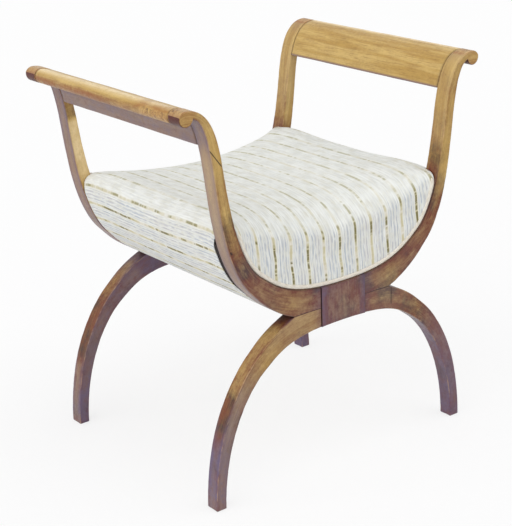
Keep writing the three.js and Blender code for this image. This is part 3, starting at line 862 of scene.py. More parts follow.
woodMaterial = waxedWood()
stripedMaterial = stripedCloth()
pipingMaterial = plainCloth("pipingCloth", "#EFEADF", "#DAD1C0", 0.0006)
calicoMaterial = plainCloth("calicoCloth", "#DCD3BE", "#B9AC90", 0.0008)
webbingMaterial = plainCloth("juteWebbing", "#A5906A", "#6E5B3C", 0.0022)
fibreMaterial = looseFibre()
steelMaterial = screwSteel()
print("materials made")


# Tones of the wood by place along each member: (place, stain, film, pale haze that is partly a painted
# reflection).
# The four tables are the frame's own face, the outer face, the seat's side and the inner face.
armFront = [
    (0, 0.95, 0.5, 0), (0.1, 0.85, 0.45, 0), (0.13, 0.7, 0.25, 0), (0.2, 0.68, 0.12, 0),
    (0.28, 0.72, 0.22, 0), (0.42, 0.85, 0.2, 0), (0.48, 0.85, 0.05, 0), (0.54, 0.72, 0, 0),
    (0.6, 0.42, 0, 0), (0.68, 0.15, 0, 0.03), (0.8, 0.0, 0, 0), (0.9, 0.1, 0, 0), (1, 0.15, 0, 0),
]
armFrontRight = [
    (0, 0.95, 0.5, 0), (0.1, 0.85, 0.45, 0), (0.13, 0.7, 0.25, 0), (0.2, 0.7, 0.12, 0), (0.28, 0.75, 0.2, 0),
    (0.4, 0.85, 0.05, 0), (0.47, 0.85, 0, 0), (0.52, 0.5, 0, 0), (0.56, 0.2, 0, 0), (0.66, 0.05, 0, 0),
    (0.78, 0.17, 0, 0), (0.9, 0.17, 0, 0), (1, 0.15, 0, 0),
]
# The back arms' seat sides: stain, and negative stain that paints a highlight where light falls on these
# faces
armSeatSideStainAndHighlight = [
    (0, 0.7, 0.4, 0), (0.42, 0.6, 0.2, 0), (0.5, 0.3, 0, 0), (0.55, -0.5, 0, 0), (0.62, -0.9, 0, 0),
    (0.745, -0.8, 0, 0), (0.77, 0.5, 0, 0), (1, 0.5, 0, 0),
]
armSeatSideRightStainAndHighlight = [
    (0, 0.7, 0.4, 0), (0.42, 0.7, 0.2, 0), (0.5, 0.75, 0, 0), (0.56, 0.5, 0, 0), (0.62, 0.05, 0, 0.05),
    (0.7, -0.15, 0, 0.1), (0.85, -0.15, 0, 0.15), (1, 0, 0, 0),
]
armOuter = [
    (0, 0.8, 0.75, 0), (0.22, 0.4, 0.6, 0.35), (0.34, 0.15, 0.6, 0.5), (0.45, 0.5, 0.35, 0.55),
    (0.6, 0.3, 0.14, 0.66), (0.78, 0.12, 0.1, 0.6), (0.86, 0.3, 0.75, 0.25), (0.945, 0.5, 0.7, 0.1),
    (0.955, 2.3, 0, 0), (1.035, 2.3, 0, 0), (1.05, 0.3, 0, 0.3), (1.08, 0, 0, 0.1),
]
armOuterDark = [
    (0, 0.8, 0.75, 0), (0.22, 0.7, 0.6, 0.1), (0.36, 0.6, 0.5, 0.3), (0.6, 0.5, 0.4, 0.3),
    (0.84, 0.5, 0.6, 0.1), (0.945, 0.6, 0.6, 0), (0.955, 2.3, 0, 0), (1.035, 2.3, 0, 0),
    (1.05, 0.3, 0, 0.3), (1.08, 0, 0, 0.1),
]
armInner = [
    (0, 0.5, 0.2, 0), (0.44, 1.1, 0.15, 0), (0.54, 1.1, 0.1, 0), (0.6, 0.65, 0, 0),
    (0.68, 0.3, 0.05, 0.15), (0.8, 0.2, 0, 0.15), (0.9, 0.08, 0, 0.1), (1, 0.15, 0.15, 0.3),
    (1.08, 0.2, 0.15, 0.2),
]
legFront = [
    (0, 0.85, 0.5, 0), (0.11, 0.75, 0.4, 0), (0.15, 0.4, 0.15, 0.1), (0.25, 0.42, 0.15, 0.1),
    (0.4, 0.4, 0.05, 0), (0.55, 0.45, 0.45, 0.05), (0.75, 0.5, 0.75, 0.05), (1, 0.5, 0.85, 0),
]
legOuter = [
    (0, 1.0, 0.3, 0), (0.25, 1.4, 0.1, 0), (0.275, 0.9, -0.2, 0), (0.3, 0.45, -0.3, 0), (0.42, 0.6, -0.3, 0),
    (0.5, 0.5, -0.3, 0), (0.55, 0.6, -0.3, 0), (0.6, 1.1, -0.2, 0), (0.64, 1.4, -0.1, 0), (0.7, 1.3, 0.1, 0),
    (0.75, 0.95, 0.6, 0), (0.8, 0.8, 0.9, 0), (1, 0.6, 0.8, 0),
]
legOuterBack = [
    (0, 1.0, 0.5, 0), (0.26, 1.2, 0.5, 0), (0.3, 0.55, 0.3, 0), (0.42, 0.7, -0.2, 0), (0.55, 1.0, -0.3, 0),
    (0.68, 1.0, -0.2, 0), (0.76, 0.6, 0.4, 0), (1, 0.6, 0.75, 0),
]
legShade = [
    (0, 1.0, 0.9, 0), (0.26, 1.2, 0.9, 0), (0.3, 0.65, 0.8, 0.1), (0.42, 0.75, 0.8, 0),
    (0.55, 0.55, 0.8, 0.05), (0.68, 0.6, 0.8, 0.1), (0.85, 0.65, 0.95, 0), (1, 0.9, 1.0, 0),
]
legInner = [(0, 0.6, 0.5, 0.15), (0.3, 0.55, 0.5, 0.3), (0.6, 0.65, 0.8, 0.05), (1, 0.65, 0.95, 0)]
blockFront = [
    (0, 1.1, 0.9, 0), (0.06, 1.0, 0.85, 0), (0.16, 0.85, 0.45, 0), (0.5, 0.82, 0.36, 0),
    (0.84, 0.8, 0.36, 0), (0.94, 0.95, 0.65, 0), (1, 1.0, 0.8, 0),
]
armTables = {
    "front_left": (armFront, armOuter, armFront, armInner),
    "front_right": (armFrontRight, armOuter, armFrontRight, armInner),
    "back_left": (armFront, armOuterDark, armSeatSideStainAndHighlight, armInner),
    "back_right": (armFrontRight, armOuter, armSeatSideRightStainAndHighlight, armInner),
}
legTables = dict.fromkeys(armTables, (legFront, legOuter, legFront, legInner))
legTables["back_left"] = (legFront, legOuterBack, legShade, legInner)
legShifts = {"front_right": (0.42, 0.0, 0), "back_right": (0.6, 0.05, 0)}

for endName, end in (("front", -1), ("back", 1)):
    for sideName, side in (("left", -1), ("right", 1)):
        seed = 1 + 2 * (end > 0) + (side > 0)
        corner = f"{endName}_{sideName}"
        arm = barPiece(
            f"{endName}Arm{sideName.title()}", armStations(), -outerPlane, -innerPlane, side, end,
            armTables[corner], seed, "arm",
        )
        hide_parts(f"{endName}_arm_{sideName}")
        leg = barPiece(
            f"{endName}Leg{sideName.title()}", legStations(), -outerPlane, shape["legThickness"] - outerPlane,
            side, end, legTables[corner], seed + 6, "leg", legShifts.get(corner, (0, 0, 0)),
        )
        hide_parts(f"{endName}_leg_{sideName}")
    block = barPiece(
        f"{endName}Block", blockStations(), -outerPlane - shape["blockProud"], -innerPlane, 1, end,
        (blockFront,) * 4, 12 + (end > 0), "block",
    )
    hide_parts(f"{endName}_centre_block")
print("frames made")


# Crest rails, swept from frame to frame

crestLook = {
    "stations": 84,
    "endEase": 0.0005,
    "wave": 0.0003,
    "innerTone": (0.06, 0, 0),
    "outerTone": (0.4, 0.75, 0.2),
    "paintedTopHighlight": 1.0,  # painted highlight along the top of the roll, as negative stain
    "underStain": 0.55,  # stain along the underside of the roll
    "underPitted": 0.54,  # old varnish there, on the left roll
    "pittedFrom": 0.08,  # distance towards the front where its pits begin
    "pittedWithin": 0.05,
    "endDark": 0.5,
    "corner": 0.0016,  # radius of the rail's lower edges
}


def easeIn(value, low, high):
    share = np.clip((value - low) / (high - low), 0, 1)
    return share * share * (3 - 2 * share)


def crestRing():
    places = np.linspace(crestPlace, rollNotchPlace, 16)
    rollInner, rollOuter, _ = rollPairs(22)
    inner = np.vstack([onFace(places), rollInner])
    outer = np.vstack([onArmEdge(places), rollOuter])
    corner = crestLook["corner"]
    lowerInner, lowerOuter = inner[0], outer[0]
    across = (lowerOuter - lowerInner) / np.linalg.norm(lowerOuter - lowerInner)
    up = curveAlong(armFace, np.array(crestPlace))
    rounds = []
    for point, inwards, start in ((lowerOuter, -across, 0), (lowerInner, across, 90)):
        middle = point + inwards * corner + up * corner
        for angle in np.linspace(0, math.pi / 2, 5):
            if start == 0:
                away = -inwards * math.cos(angle) - up * math.sin(angle)
            else:
                away = -up * math.cos(angle) - inwards * math.sin(angle)
            rounds.append(middle + away * corner)
    bottom = [lowerOuter + (lowerInner - lowerOuter) * share for share in (0.3, 0.5, 0.7)]
    ring = list(inner[1:]) + list(outer[1:][::-1]) + rounds[:5] + bottom + rounds[5:]
    return np.array(ring), len(inner) - 1


def crestRail(sideName, side, seed):
    ring, innerCount = crestRing()
    half = innerPlane - fit
    ys = np.linspace(-half, half, crestLook["stations"])
    rings = stacked(ring[:, 0], ys[:, None], ring[:, 1])
    normal = np.roll(ring, -1, 0) - np.roll(ring, 1, 0)
    normal = np.stack([normal[:, 1], -normal[:, 0]], -1)
    normal /= np.maximum(np.linalg.norm(normal, axis=1, keepdims=True), 1e-9)
    if np.sum(normal * (ring - ring.mean(0))) < 0:
        normal = -normal
    wave = ripple(rings, 30, seed).reshape(rings.shape[:2]) * crestLook["wave"] - crestLook["wave"]
    wave[[0, -1]] = -crestLook["endEase"] - crestLook["wave"]
    rings[..., 0] += normal[None, :, 0] * wave
    rings[..., 2] += normal[None, :, 1] * wave
    grain = stacked(rings[..., 1] + seed, runAlong(ring), 0)
    tones = np.zeros(rings.shape)
    tones[:, innerCount:] = crestLook["outerTone"]
    tones[:, :innerCount] = crestLook["innerTone"]
    onRoll = np.linalg.norm(ring - rollCentre, axis=1) < shape["rollRadius"] * 1.1
    drop = (ring[:, 1] - rollCentre[1]) / shape["rollRadius"]
    below, above = easeIn(-drop, -0.6, 0.15), np.clip(drop, 0, 1)
    tones[:, onRoll] = (0.05, 0, 0.0)
    # Negative stain along the top of the roll is a painted highlight
    tones[:, onRoll, 0] += crestLook["underStain"] * below[onRoll] - crestLook["paintedTopHighlight"] * above[onRoll] ** 5
    wear = np.zeros(rings.shape)
    toFront = np.clip((-rings[..., 1] - crestLook["pittedFrom"]) / crestLook["pittedWithin"], 0, 1)
    toFront *= 0.3 + 0.7 * easeIn(-drop, -1.1, 0)
    wear[..., 1] = np.maximum(crestLook["underPitted"] * below, toFront) * onRoll * (side < 0)
    wear[[0, -1], :, 2] = crestLook["endDark"]
    rings[..., 0] *= side
    faces = outward(rings, tubeFaces(*rings.shape[:2]))
    rail = makePiece(f"{sideName}CrestRail", rings, faces, {"grain": grain, "tone": tones, "wear": wear})
    rail.data.materials.append(woodMaterial)
    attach(rail, "root")
    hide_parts(f"{sideName}_crest_rail")


crestRail("left", -1, 21)
crestRail("right", 1, 24)
print("crest rails made")


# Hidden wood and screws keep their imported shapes

def dressHidden():
    woods = {
        "x": sawnWood("sawnAcross", 0),
        "y": sawnWood("sawnThrough", 1),
        "z": sawnWood("sawnUpright", 2),
        # Near-black for the seat ribs and end rails: painted shade, so the gap beside the front left arm
        # reads dark
        "stained": sawnWood("shadeDarkRail", 1, ("#271A14", "#1C120E", "#120C0A")),
    }
    for name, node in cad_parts.items():
        if node.hide_render:
            continue
        if "screw" in name:
            chosen = steelMaterial
        elif "seat_rib" in name or "end_rail" in name:
            chosen = woods["stained"]
        elif "joint_dowel" in name:
            chosen = woods["z"]
        elif "dowel" in name:
            chosen = woods["x"]
        elif "rail" in name or "stretcher" in name:
            chosen = woods["y"]
        else:
            continue
        node.data.materials.clear()
        node.data.materials.append(chosen)


# The seat

seat = {
    "clothThickness": 0.0012,
    "endRailRise": 0.118,
    "seatRise": 0.134,
    "seatEndRise": 0.0145,
    "borderRise": 0.084,
    "borderEndRise": 0.044,
    "borderSetback": 0.003,
    "endRollRadius": 0.024,
    "pipingDiameter": 0.008,
    "notchGap": 0.0006,
    "apronEnd": 0.118,
    "crownPower": 3.2,
    "crownEndPower": 4.0,
    "step": 0.0065,  # size of the cloth's squares before they are divided
    "hollow": 0.007,  # dip in the front border left of the middle
    "hollowPlace": -0.012,
    "hollowWidth": 0.03,
    "hollowFoot": 0.40,  # height where the dip begins
    "swell": 0.0045,  # the furthest that the simulation may push the cloth
    "gapAtFrame": 0.002,  # cloth drawn back from the arms low down at the ends
    "frontLeftGap": 0.010,
    "gapReach": 0.045,  # how far in from the arms the cloth is drawn
    "gapTop": 0.474,
    "gapFoot": (0.325, 0.365),
    "notchCorner": 0.477,  # height where the cloth's corner meets the arm
    "borderCorner": 0.461,
    "cornerReach": 0.19,  # how far from the corner the cloth rises to it
    "cornerDepth": 0.16,
    "backLeftDrop": 0.005,  # the cloth's back left corner sits lower
    "fadeFrom": (0.2, 0.8),  # how far the cloth faces up where its colours begin and end to fade
    "endFadeFrom": (-0.1, 0.7),
    "pucker": 0.0009,
    "puckerPitch": 0.0135,
}
endRailTop = placeWhere(lambda p: curvePoint(armFace, p)[1], dishHeight + seat["endRailRise"])
seatReach = float(onArmEdge(np.array(endRailTop), fit)[0])
borderPlane = outerPlane - seat["borderSetback"]
notchPlane = innerPlane - seat["notchGap"]


def faceAcross(height):
    upper = armFace["line"][100:1100]
    return float(np.interp(height, upper[:, 1], upper[:, 0]))


def crownHeight(x, y):
    notchX, borderX = faceAcross(seat["notchCorner"]), faceAcross(seat["borderCorner"])
    share = easeIn(np.abs(y), notchPlane, borderPlane)
    short = seat["notchCorner"] - plainCrown(notchX, notchPlane)
    outerShort = seat["borderCorner"] - plainCrown(borderX, borderPlane)
    ahead = np.clip((np.abs(y) - notchPlane) / seat["cornerDepth"] + 1, 0, 1) ** 1.6
    outwards = np.clip((np.abs(x) - notchX) / seat["cornerReach"] + 1, 0, 1) ** 1.25
    raised = short + (outerShort - short) * share - cornerDrop(x, y)
    return plainCrown(x, y) + raised * ahead * outwards


def cornerDrop(x, y):
    return seat["backLeftDrop"] * ((np.asarray(x) < 0) & (np.asarray(y) > 0))


def plainCrown(x, y):
    across = np.abs(x) / seatReach
    middle = dishHeight + seat["seatRise"] + seat["seatEndRise"] * across ** 2
    border = dishHeight + seat["borderRise"] + seat["borderEndRise"] * across ** 4
    power = seat["crownPower"] + seat["crownEndPower"] * across ** 2
    over = np.minimum(np.abs(y) / borderPlane, 1)
    dome = np.sqrt(np.maximum(1 - over ** power, 0))
    radius = seat["endRollRadius"]
    past = np.clip((np.abs(x) - (seatReach - radius)) / radius, 0, 1)
    drop = radius * (1 - np.sqrt(np.maximum(1 - past * past, 0)))
    return border + (middle - border) * dome - drop


def onUnderside(place, inset):
    point = onArmEdge(place, inset)
    point[..., 1] = np.maximum(point[..., 1], jointHeight + inset)
    return point


# Height of the border's lower edge above the piping, at one place across
def borderFoot(x):
    lifted = onFace(np.linspace(0, endRailTop * 1.15, 300), fit + seat["pipingDiameter"] * 0.55)
    return np.interp(abs(x), lifted[:, 0], lifted[:, 1])


# One line of cloth from the notch plane over the roll and down the border, at the front or the back
def outerPath(share, end):
    topX, edgeX = share * cornerTop, share * cornerEdge
    turns = np.linspace(math.asin(notchPlane / borderPlane), math.pi / 2, 40)
    ys = borderPlane * np.sin(turns)
    xs = topX + (edgeX - topX) * (ys - notchPlane) / (borderPlane - notchPlane)
    path = np.stack([xs, ys, crownHeight(xs, ys * end)], -1)
    foot = borderFoot(edgeX)
    if path[-1, 2] - foot < 0.0015:
        return path
    return np.vstack([path, stacked(edgeX, borderPlane, np.linspace(path[-1, 2], foot, 24)[1:])])


cornerTop = faceAcross(seat["notchCorner"]) - 0.0008
cornerEdge = faceAcross(seat["borderCorner"]) - 0.0012


# The cover's long strip: over the top, down both ends and back under them
def clothGrid():
    step = seat["step"]
    columns = np.linspace(-1, 1, 2 * int(cornerTop / step) + 1)
    rows = np.linspace(-notchPlane, notchPlane, int(2 * notchPlane / step) + 1)
    rollX = seatReach - (seatReach - cornerTop) * (1 - np.sin(np.linspace(0, math.pi / 2, 60)[1:]))
    apron = placeWhere(lambda p: onUnderside(np.array(p), fit)[0], seat["apronEnd"])
    under = onUnderside(np.linspace(endRailTop, apron, 200), fit)
    points, weave = [], []
    for y in rows:
        xs = columns * cornerTop
        top = np.stack([xs, crownHeight(xs, y)], -1)
        right, left = endTail(top[-1], rollX, y, under), endTail(top[0] * (-1, 1), -rollX, y, under)
        line = np.vstack([left[::-1] * (-1, 1), top, right])
        run = runAlong(line)
        ends = [run[len(left)], run[len(left) + len(top) - 1]]
        onRight = np.where(run > ends[1], run - ends[1] + cornerTop, line[:, 0])
        run = np.where(run < ends[0], run - ends[0] - cornerTop, onRight)
        points.append(stacked(line[:, 0], y, line[:, 1]))
        weave.append(stacked(run, y, 0))
    return np.array(points), np.array(weave), columns, len(left)


# From the top's edge over the end's roll, down the end and back under it
def endTail(start, rollX, y, under):
    roll = np.stack([np.abs(rollX), crownHeight(rollX, y)], -1)
    tail = np.vstack([start, roll, under[under[:, 1] < roll[-1, 1] - 0.002]])
    return resampled(tail, 37)[1:]


def resampled(line, count):
    run = runAlong(line)
    marks = np.linspace(0, run[-1], count)
    return np.stack([np.interp(marks, run, line[:, k]) for k in range(line.shape[1])], -1)


def coverSheet():
    centre, weave, columns, leftCount = clothGrid()
    rowCount, wide = centre.shape[:2]
    points, weaves = [centre.reshape(-1, 3)], [weave.reshape(-1, 3)]
    index = np.arange(rowCount * wide).reshape(rowCount, wide)
    faces = gridFaces(index)
    outerRows = 11
    total = rowCount * wide
    for end, edgeRow in ((-1, 0), (1, rowCount - 1)):
        grid = np.zeros((outerRows, len(columns), 3))
        cloth = np.zeros(grid.shape)
        for i, share in enumerate(columns):
            path = resampled(outerPath(share, end), outerRows + 1)[1:]
            start = centre[edgeRow, leftCount + i]
            grid[:, i] = path * (1, end, 1)
            first = np.linalg.norm(grid[0, i] - start)
            gaps = np.r_[first, np.linalg.norm(np.diff(grid[:, i], axis=0), axis=1)]
            cloth[:, i, 0] = path[:, 0]
            cloth[:, i, 1] = end * (notchPlane + np.cumsum(gaps))
        points.append(grid.reshape(-1, 3))
        weaves.append(cloth.reshape(-1, 3))
        block = total + np.arange(outerRows * len(columns)).reshape(outerRows, len(columns))
        part = gridFaces(np.vstack([index[edgeRow, leftCount:leftCount + len(columns)][None], block]))
        faces += part if end > 0 else [face[::-1] for face in part]
        total += outerRows * len(columns)
    return np.vstack(points), np.vstack(weaves), faces


def openEdges(faces):
    counts = {}
    for face in faces:
        for k in range(len(face)):
            edge = tuple(sorted((face[k], face[(k + 1) % len(face)])))
            counts[edge] = counts.get(edge, 0) + 1
    return sorted({v for edge, number in counts.items() if number == 1 for v in edge})


# The hollow of the front border, puckers over the piping, and gaps beside the arms
def shapedCover(points, weaves):
    x, y, z = points.T
    front = np.clip((-y - notchPlane) / (borderPlane - notchPlane), 0, 1)
    hollow = np.exp(-((x - seat["hollowPlace"]) / seat["hollowWidth"]) ** 2) * front * seat["hollow"]
    points[:, 2] -= hollow * np.clip((z - seat["hollowFoot"]) / seat["hollowWidth"], 0, 1)
    onBorder = np.abs(y) > borderPlane - 0.002
    above = np.array([zz - borderFoot(xx) if flag else 1.0 for xx, zz, flag in zip(x, z, onBorder)])
    toCorner = np.clip(np.abs(x) / cornerEdge, 0, 1) ** 2
    pucker = np.exp(-np.maximum(above, 0) / (0.01 + 0.012 * toCorner)) * seat["pucker"] * (0.6 + toCorner)
    turns = weaves[:, 0] * 2 * math.pi
    folds = np.sin(turns / seat["puckerPitch"]) * (0.6 + 0.4 * np.sin(turns / 0.047 + 1))
    points[:, 1] += np.sign(y) * pucker * folds
    atEnd = (np.abs(weaves[:, 0]) > cornerTop + 0.003) & (np.abs(y) <= notchPlane + 1e-6)
    near = np.clip((np.abs(y) - notchPlane) / seat["gapReach"] + 1, 0, 1) ** 2
    deep = easeIn(seat["gapTop"] - z, 0, 0.04) * easeIn(z, *seat["gapFoot"])
    gap = np.where((x < 0) & (y < 0), seat["frontLeftGap"], seat["gapAtFrame"])
    points[:, 1] -= np.sign(y) * near * deep * gap * atEnd
    points[:, 0] -= np.sign(x) * near * deep * 0.0004 * atEnd
    return points


clothSettings = {
    "vertex_group_mass": "pinned",
    "quality": 6,
    "mass": 0.4,
    "tension_stiffness": 25,
    "compression_stiffness": 25,
    "shear_stiffness": 12,
    "bending_stiffness": 3,
    "use_pressure": True,
    "uniform_pressure_force": 4.0,
}


# A short run of cloth under pressure; no point moves further than the cap
def simulated(piece, pinned, cap, frames=20):
    before = np.zeros(len(piece.data.vertices) * 3)
    piece.data.vertices.foreach_get("co", before)
    group = piece.vertex_groups.new(name="pinned")
    group.add([int(i) for i in pinned], 1.0, "REPLACE")
    cloth = piece.modifiers.new("cloth", "CLOTH")
    for key, value in clothSettings.items():
        setattr(cloth.settings, key, value)
    cloth.settings.effector_weights.gravity = 0
    cloth.point_cache.frame_start = 1
    cloth.point_cache.frame_end = frames
    scene = bpy.context.scene
    for step in range(1, frames + 1):
        scene.frame_set(step)
    evaluated = piece.evaluated_get(bpy.context.evaluated_depsgraph_get())
    after = np.zeros(len(before))
    evaluated.data.vertices.foreach_get("co", after)
    piece.modifiers.remove(cloth)
    piece.vertex_groups.remove(group)
    scene.frame_set(1)
    moved = (after - before).reshape(-1, 3)
    size = np.linalg.norm(moved, axis=1, keepdims=True)
    if not np.isfinite(size).all():
        print("cloth gave no result for", piece.name)
        return
    moved *= np.minimum(1, cap / np.maximum(size, 1e-9))
    piece.data.vertices.foreach_set("co", (before.reshape(-1, 3) + moved).ravel())
    piece.data.update()
    print(f"{piece.name}: cloth moved {size.max() * 1000:.1f} mm at most, capped at {cap * 1000:.1f} mm")


def divided(piece):
    step = piece.modifiers.new("divided", "SUBSURF")
    step.levels = step.render_levels = 1
    step.boundary_smooth = "PRESERVE_CORNERS"


def thickened(piece, thickness):
    step = piece.modifiers.new("thickened", "SOLIDIFY")
    step.thickness = thickness
    step.offset = -1
    step.use_even_offset = False


# Makes the modifiers' result the mesh itself
def applied(piece):
    evaluated = piece.evaluated_get(bpy.context.evaluated_depsgraph_get())
    mesh = bpy.data.meshes.new_from_object(evaluated)
    piece.modifiers.clear()
    piece.data = mesh


# The cloth is bleached where it faces up: the third weave value says how much
def fadedOnTop(cover):
    count = len(cover.data.vertices)
    normals, weaves = np.zeros(count * 3), np.zeros(count * 3)
    cover.data.vertex_normals.foreach_get("vector", normals)
    layer = cover.data.attributes["weave"]
    layer.data.foreach_get("vector", weaves)
    weaves = weaves.reshape(-1, 3)
    up = normals.reshape(-1, 3)[:, 2]
    if up[np.argmin(np.abs(weaves[:, 0]) + np.abs(weaves[:, 1]))] < 0:
        up = -up
    onTop = easeIn(up, *seat["fadeFrom"])
    onEnd = easeIn(up, *seat["endFadeFrom"])
    weaves[:, 2] = onTop + (onEnd - onTop) * easeIn(np.abs(weaves[:, 0]), cornerTop - 0.01, cornerTop + 0.01)
    layer.data.foreach_set("vector", weaves.ravel())


def makeCover():
    points, weaves, faces = coverSheet()
    first, second, _, fourth = points[faces[0]]
    if np.cross(second - first, fourth - first) @ (first - points.mean(0)) < 0:
        faces = [face[::-1] for face in faces]
    points = shapedCover(points, weaves)
    cover = makePiece("seatCover", points, faces, {"weave": weaves})
    cover.data.materials.append(stripedMaterial)
    simulated(cover, openEdges(faces), seat["swell"])
    fadedOnTop(cover)
    divided(cover)
    thickened(cover, seat["clothThickness"])
    applied(cover)
    smoothShaded(cover)
    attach(cover, "root")
    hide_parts("seat_cover")


makeCover()
print("seat cover made")


# Stuffing, webbing, dust cloth and piping

padding = {
    "voxel": 0.006,
    "startInside": 0.0022,  # the pad starts this much smaller and swells
    "swell": 0.0022,
    "heldShare": 0.12,  # the lowest points, which lie on the webbing
}


# The horsehair pad: the node's own form, remeshed and swollen a little under pressure
def makeStuffing():
    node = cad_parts["seat_stuffing"]
    piece = linked("horsehairPad", node.data.copy())
    piece.data.materials.clear()
    weld = piece.modifiers.new("weld", "WELD")
    weld.merge_threshold = 0.00005
    remesh = piece.modifiers.new("remesh", "REMESH")
    remesh.mode = "VOXEL"
    remesh.voxel_size = padding["voxel"]
    applied(piece)
    count = len(piece.data.vertices)
    points, normals = np.zeros(count * 3), np.zeros(count * 3)
    piece.data.vertices.foreach_get("co", points)
    piece.data.vertex_normals.foreach_get("vector", normals)
    points = points.reshape(-1, 3) - normals.reshape(-1, 3) * padding["startInside"]
    piece.data.vertices.foreach_set("co", points.ravel())
    held = np.where(points[:, 2] < np.quantile(points[:, 2], padding["heldShare"]))[0]
    simulated(piece, held, padding["swell"])
    softened = piece.modifiers.new("softened", "SMOOTH")
    softened.iterations = 3
    softened.factor = 0.4
    applied(piece)
    smoothShaded(piece)
    piece.data.materials.append(fibreMaterial)
    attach(piece, "root")
    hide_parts("seat_stuffing")


web = {
    "width": 0.050,
    "thickness": 0.0015,
    "count": 7,
    "setback": 0.013,
    "lift": 0.0003,
    "sag": 0.0012,
}


def makeWebbing():
    half = outerPlane - web["setback"]
    for number in range(web["count"]):
        spot = (-1 + 2 * number / (web["count"] - 1)) * webEdge()
        shares = np.linspace(-0.5, 0.5, 13) * web["width"] / armFace["length"]
        ys = np.linspace(-half, half, 61)
        line = []
        for share in shares:
            place = spot + share
            point = onFace(np.array(abs(place)), web["lift"] + web["thickness"])
            line.append((math.copysign(point[0], place) if place else 0.0, point[1]))
        line = np.array(line)
        dip = web["sag"] * (1 - (ys / half) ** 2) * (1 + 0.3 * np.sin(ys * 60 + number))
        heights = line[:, 1] - (dip * (np.abs(ys) < innerPlane))[:, None]
        points = stacked(line[:, 0], ys[:, None], heights)
        weave = stacked(shares * armFace["length"], ys[:, None] + number, 0)
        faces = gridFaces(np.arange(weave[..., 0].size).reshape(weave.shape[:2]))
        strip = makePiece(f"webbingStrip{number + 1}", points, faces, {"weave": weave})
        strip.data.materials.append(webbingMaterial)
        thickened(strip, web["thickness"])
        applied(strip)
        smoothShaded(strip)
        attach(strip, "root")
        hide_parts(f"webbing_strip_{number + 1}")


# Place on the arm of the last strip's middle line
def webEdge():
    return endRailTop - web["width"] / 2 / armFace["length"]


def makeDustCloth():
    edge = seat["apronEnd"] - 0.0005  # just inside the cover's hem
    xs = np.linspace(-edge, edge, 49)
    places = np.linspace(0, 0.6, 400)
    under = onUnderside(places, fit + seat["clothThickness"])
    heights = np.interp(np.abs(xs), under[:, 0], under[:, 1])
    ys = np.linspace(-notchPlane, notchPlane, 73)
    points = stacked(xs, ys[:, None], heights)
    run = runAlong(np.stack([xs, heights], -1))
    inside = (1 - (ys / notchPlane) ** 4)[:, None] * (1 - (xs / edge) ** 4)
    creases = ripple(points * (1, 0.35, 1), 26, 31).reshape(points.shape[:2])
    points[..., 2] += inside * creases * 0.0012
    weave = stacked(run, ys[:, None], 0)
    faces = gridFaces(np.arange(weave[..., 0].size).reshape(weave.shape[:2]))
    cloth = makePiece("dustCloth", points, faces, {"weave": weave})
    cloth.data.materials.append(calicoMaterial)
    thickened(cloth, 0.001)
    applied(cloth)
    smoothShaded(cloth)
    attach(cloth, "root")
    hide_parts("dust_cloth")


welt = {
    "radius": 0.0038,
    "setback": 0.0006,
    "around": 14,
    "step": 0.003,
    "turnIn": 0.9,  # how much of the way to the notch the end turns in
    "rise": 0.004,  # how far the end lifts as it turns in
    "pointed": 0.006,  # length over which each end comes to a point
    "stitch": 0.0075,  # from one stitch's dip to the next
}


# Along the U in front of the border, then in along each arm's face to the seat's corner
def weltPath(end):
    tops = [seat["borderCorner"] - 0.004 - float(cornerDrop(side, end)) for side in (-1, 1)]
    low, high = [placeWhere(lambda p, top=top: curvePoint(armFace, p)[1], top) for top in tops]
    places = np.linspace(-low, high, 401)
    lifted = onFace(np.abs(places), fit + welt["radius"])
    xs = np.where(places < 0, -lifted[:, 0], lifted[:, 0])
    ys = np.full(len(xs), outerPlane - welt["setback"] - welt["radius"])
    path = np.stack([xs, ys, lifted[:, 1]], -1)
    tails = []
    for side in (-1, 1):
        inner = np.linspace(0, 1, 24)[1:] * welt["turnIn"]
        y = ys[0] + (notchPlane - ys[0]) * inner
        lift = welt["rise"] * np.sin(np.minimum(inner * 3, 1) * math.pi / 2)
        z = path[0 if side < 0 else -1, 2] + lift + (seat["notchCorner"] - seat["borderCorner"]) * inner
        x = np.array([faceAcross(h) for h in z]) - fit - welt["radius"]
        tails.append(np.stack([side * x, y, z], -1))
    path = np.vstack([tails[0][::-1], path, tails[1]])
    for _ in range(6):
        path[1:-1] = (path[:-2] + 2 * path[1:-1] + path[2:]) / 4
    path[:, 1] *= end
    return resampled(path, int(np.linalg.norm(np.diff(path, axis=0), axis=1).sum() / welt["step"]))


def makeWelt(endName, end):
    path = weltPath(end)
    along = np.gradient(path, axis=0)
    along /= np.linalg.norm(along, axis=1, keepdims=True)
    outwards = np.array((0.0, end, 0.0)) - along * (along @ np.array((0.0, end, 0.0)))[:, None]
    small = np.linalg.norm(outwards, axis=1) < 0.3
    outwards[small] = np.cross(along[small], (0.0, 0.0, 1.0))
    outwards /= np.linalg.norm(outwards, axis=1, keepdims=True)
    upwards = np.cross(outwards, along) * end
    turns = np.linspace(0, 2 * math.pi, welt["around"], endpoint=False)
    run = runAlong(path)
    radius = np.full(len(path), welt["radius"])
    radius *= 1 + 0.05 * np.sin(run * 2 * math.pi / welt["stitch"]) * np.sin(run * 37)
    ends = np.minimum(run, run[-1] - run)
    radius *= np.sqrt(np.clip(ends / welt["pointed"], 0.02, 1))
    spokes = outwards[:, None] * np.cos(turns)[:, None] + upwards[:, None] * np.sin(turns)[:, None]
    rings = path[:, None] + radius[:, None, None] * spokes
    weave = stacked(turns * welt["radius"] + run[:, None] * 0.7, run[:, None], 0)
    faces = outward(rings, tubeFaces(*rings.shape[:2]))
    cord = makePiece(f"{endName}Welt", rings, faces, {"weave": weave})
    cord.data.materials.append(pipingMaterial)
    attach(cord, "root")
    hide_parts(f"{endName}_piping")


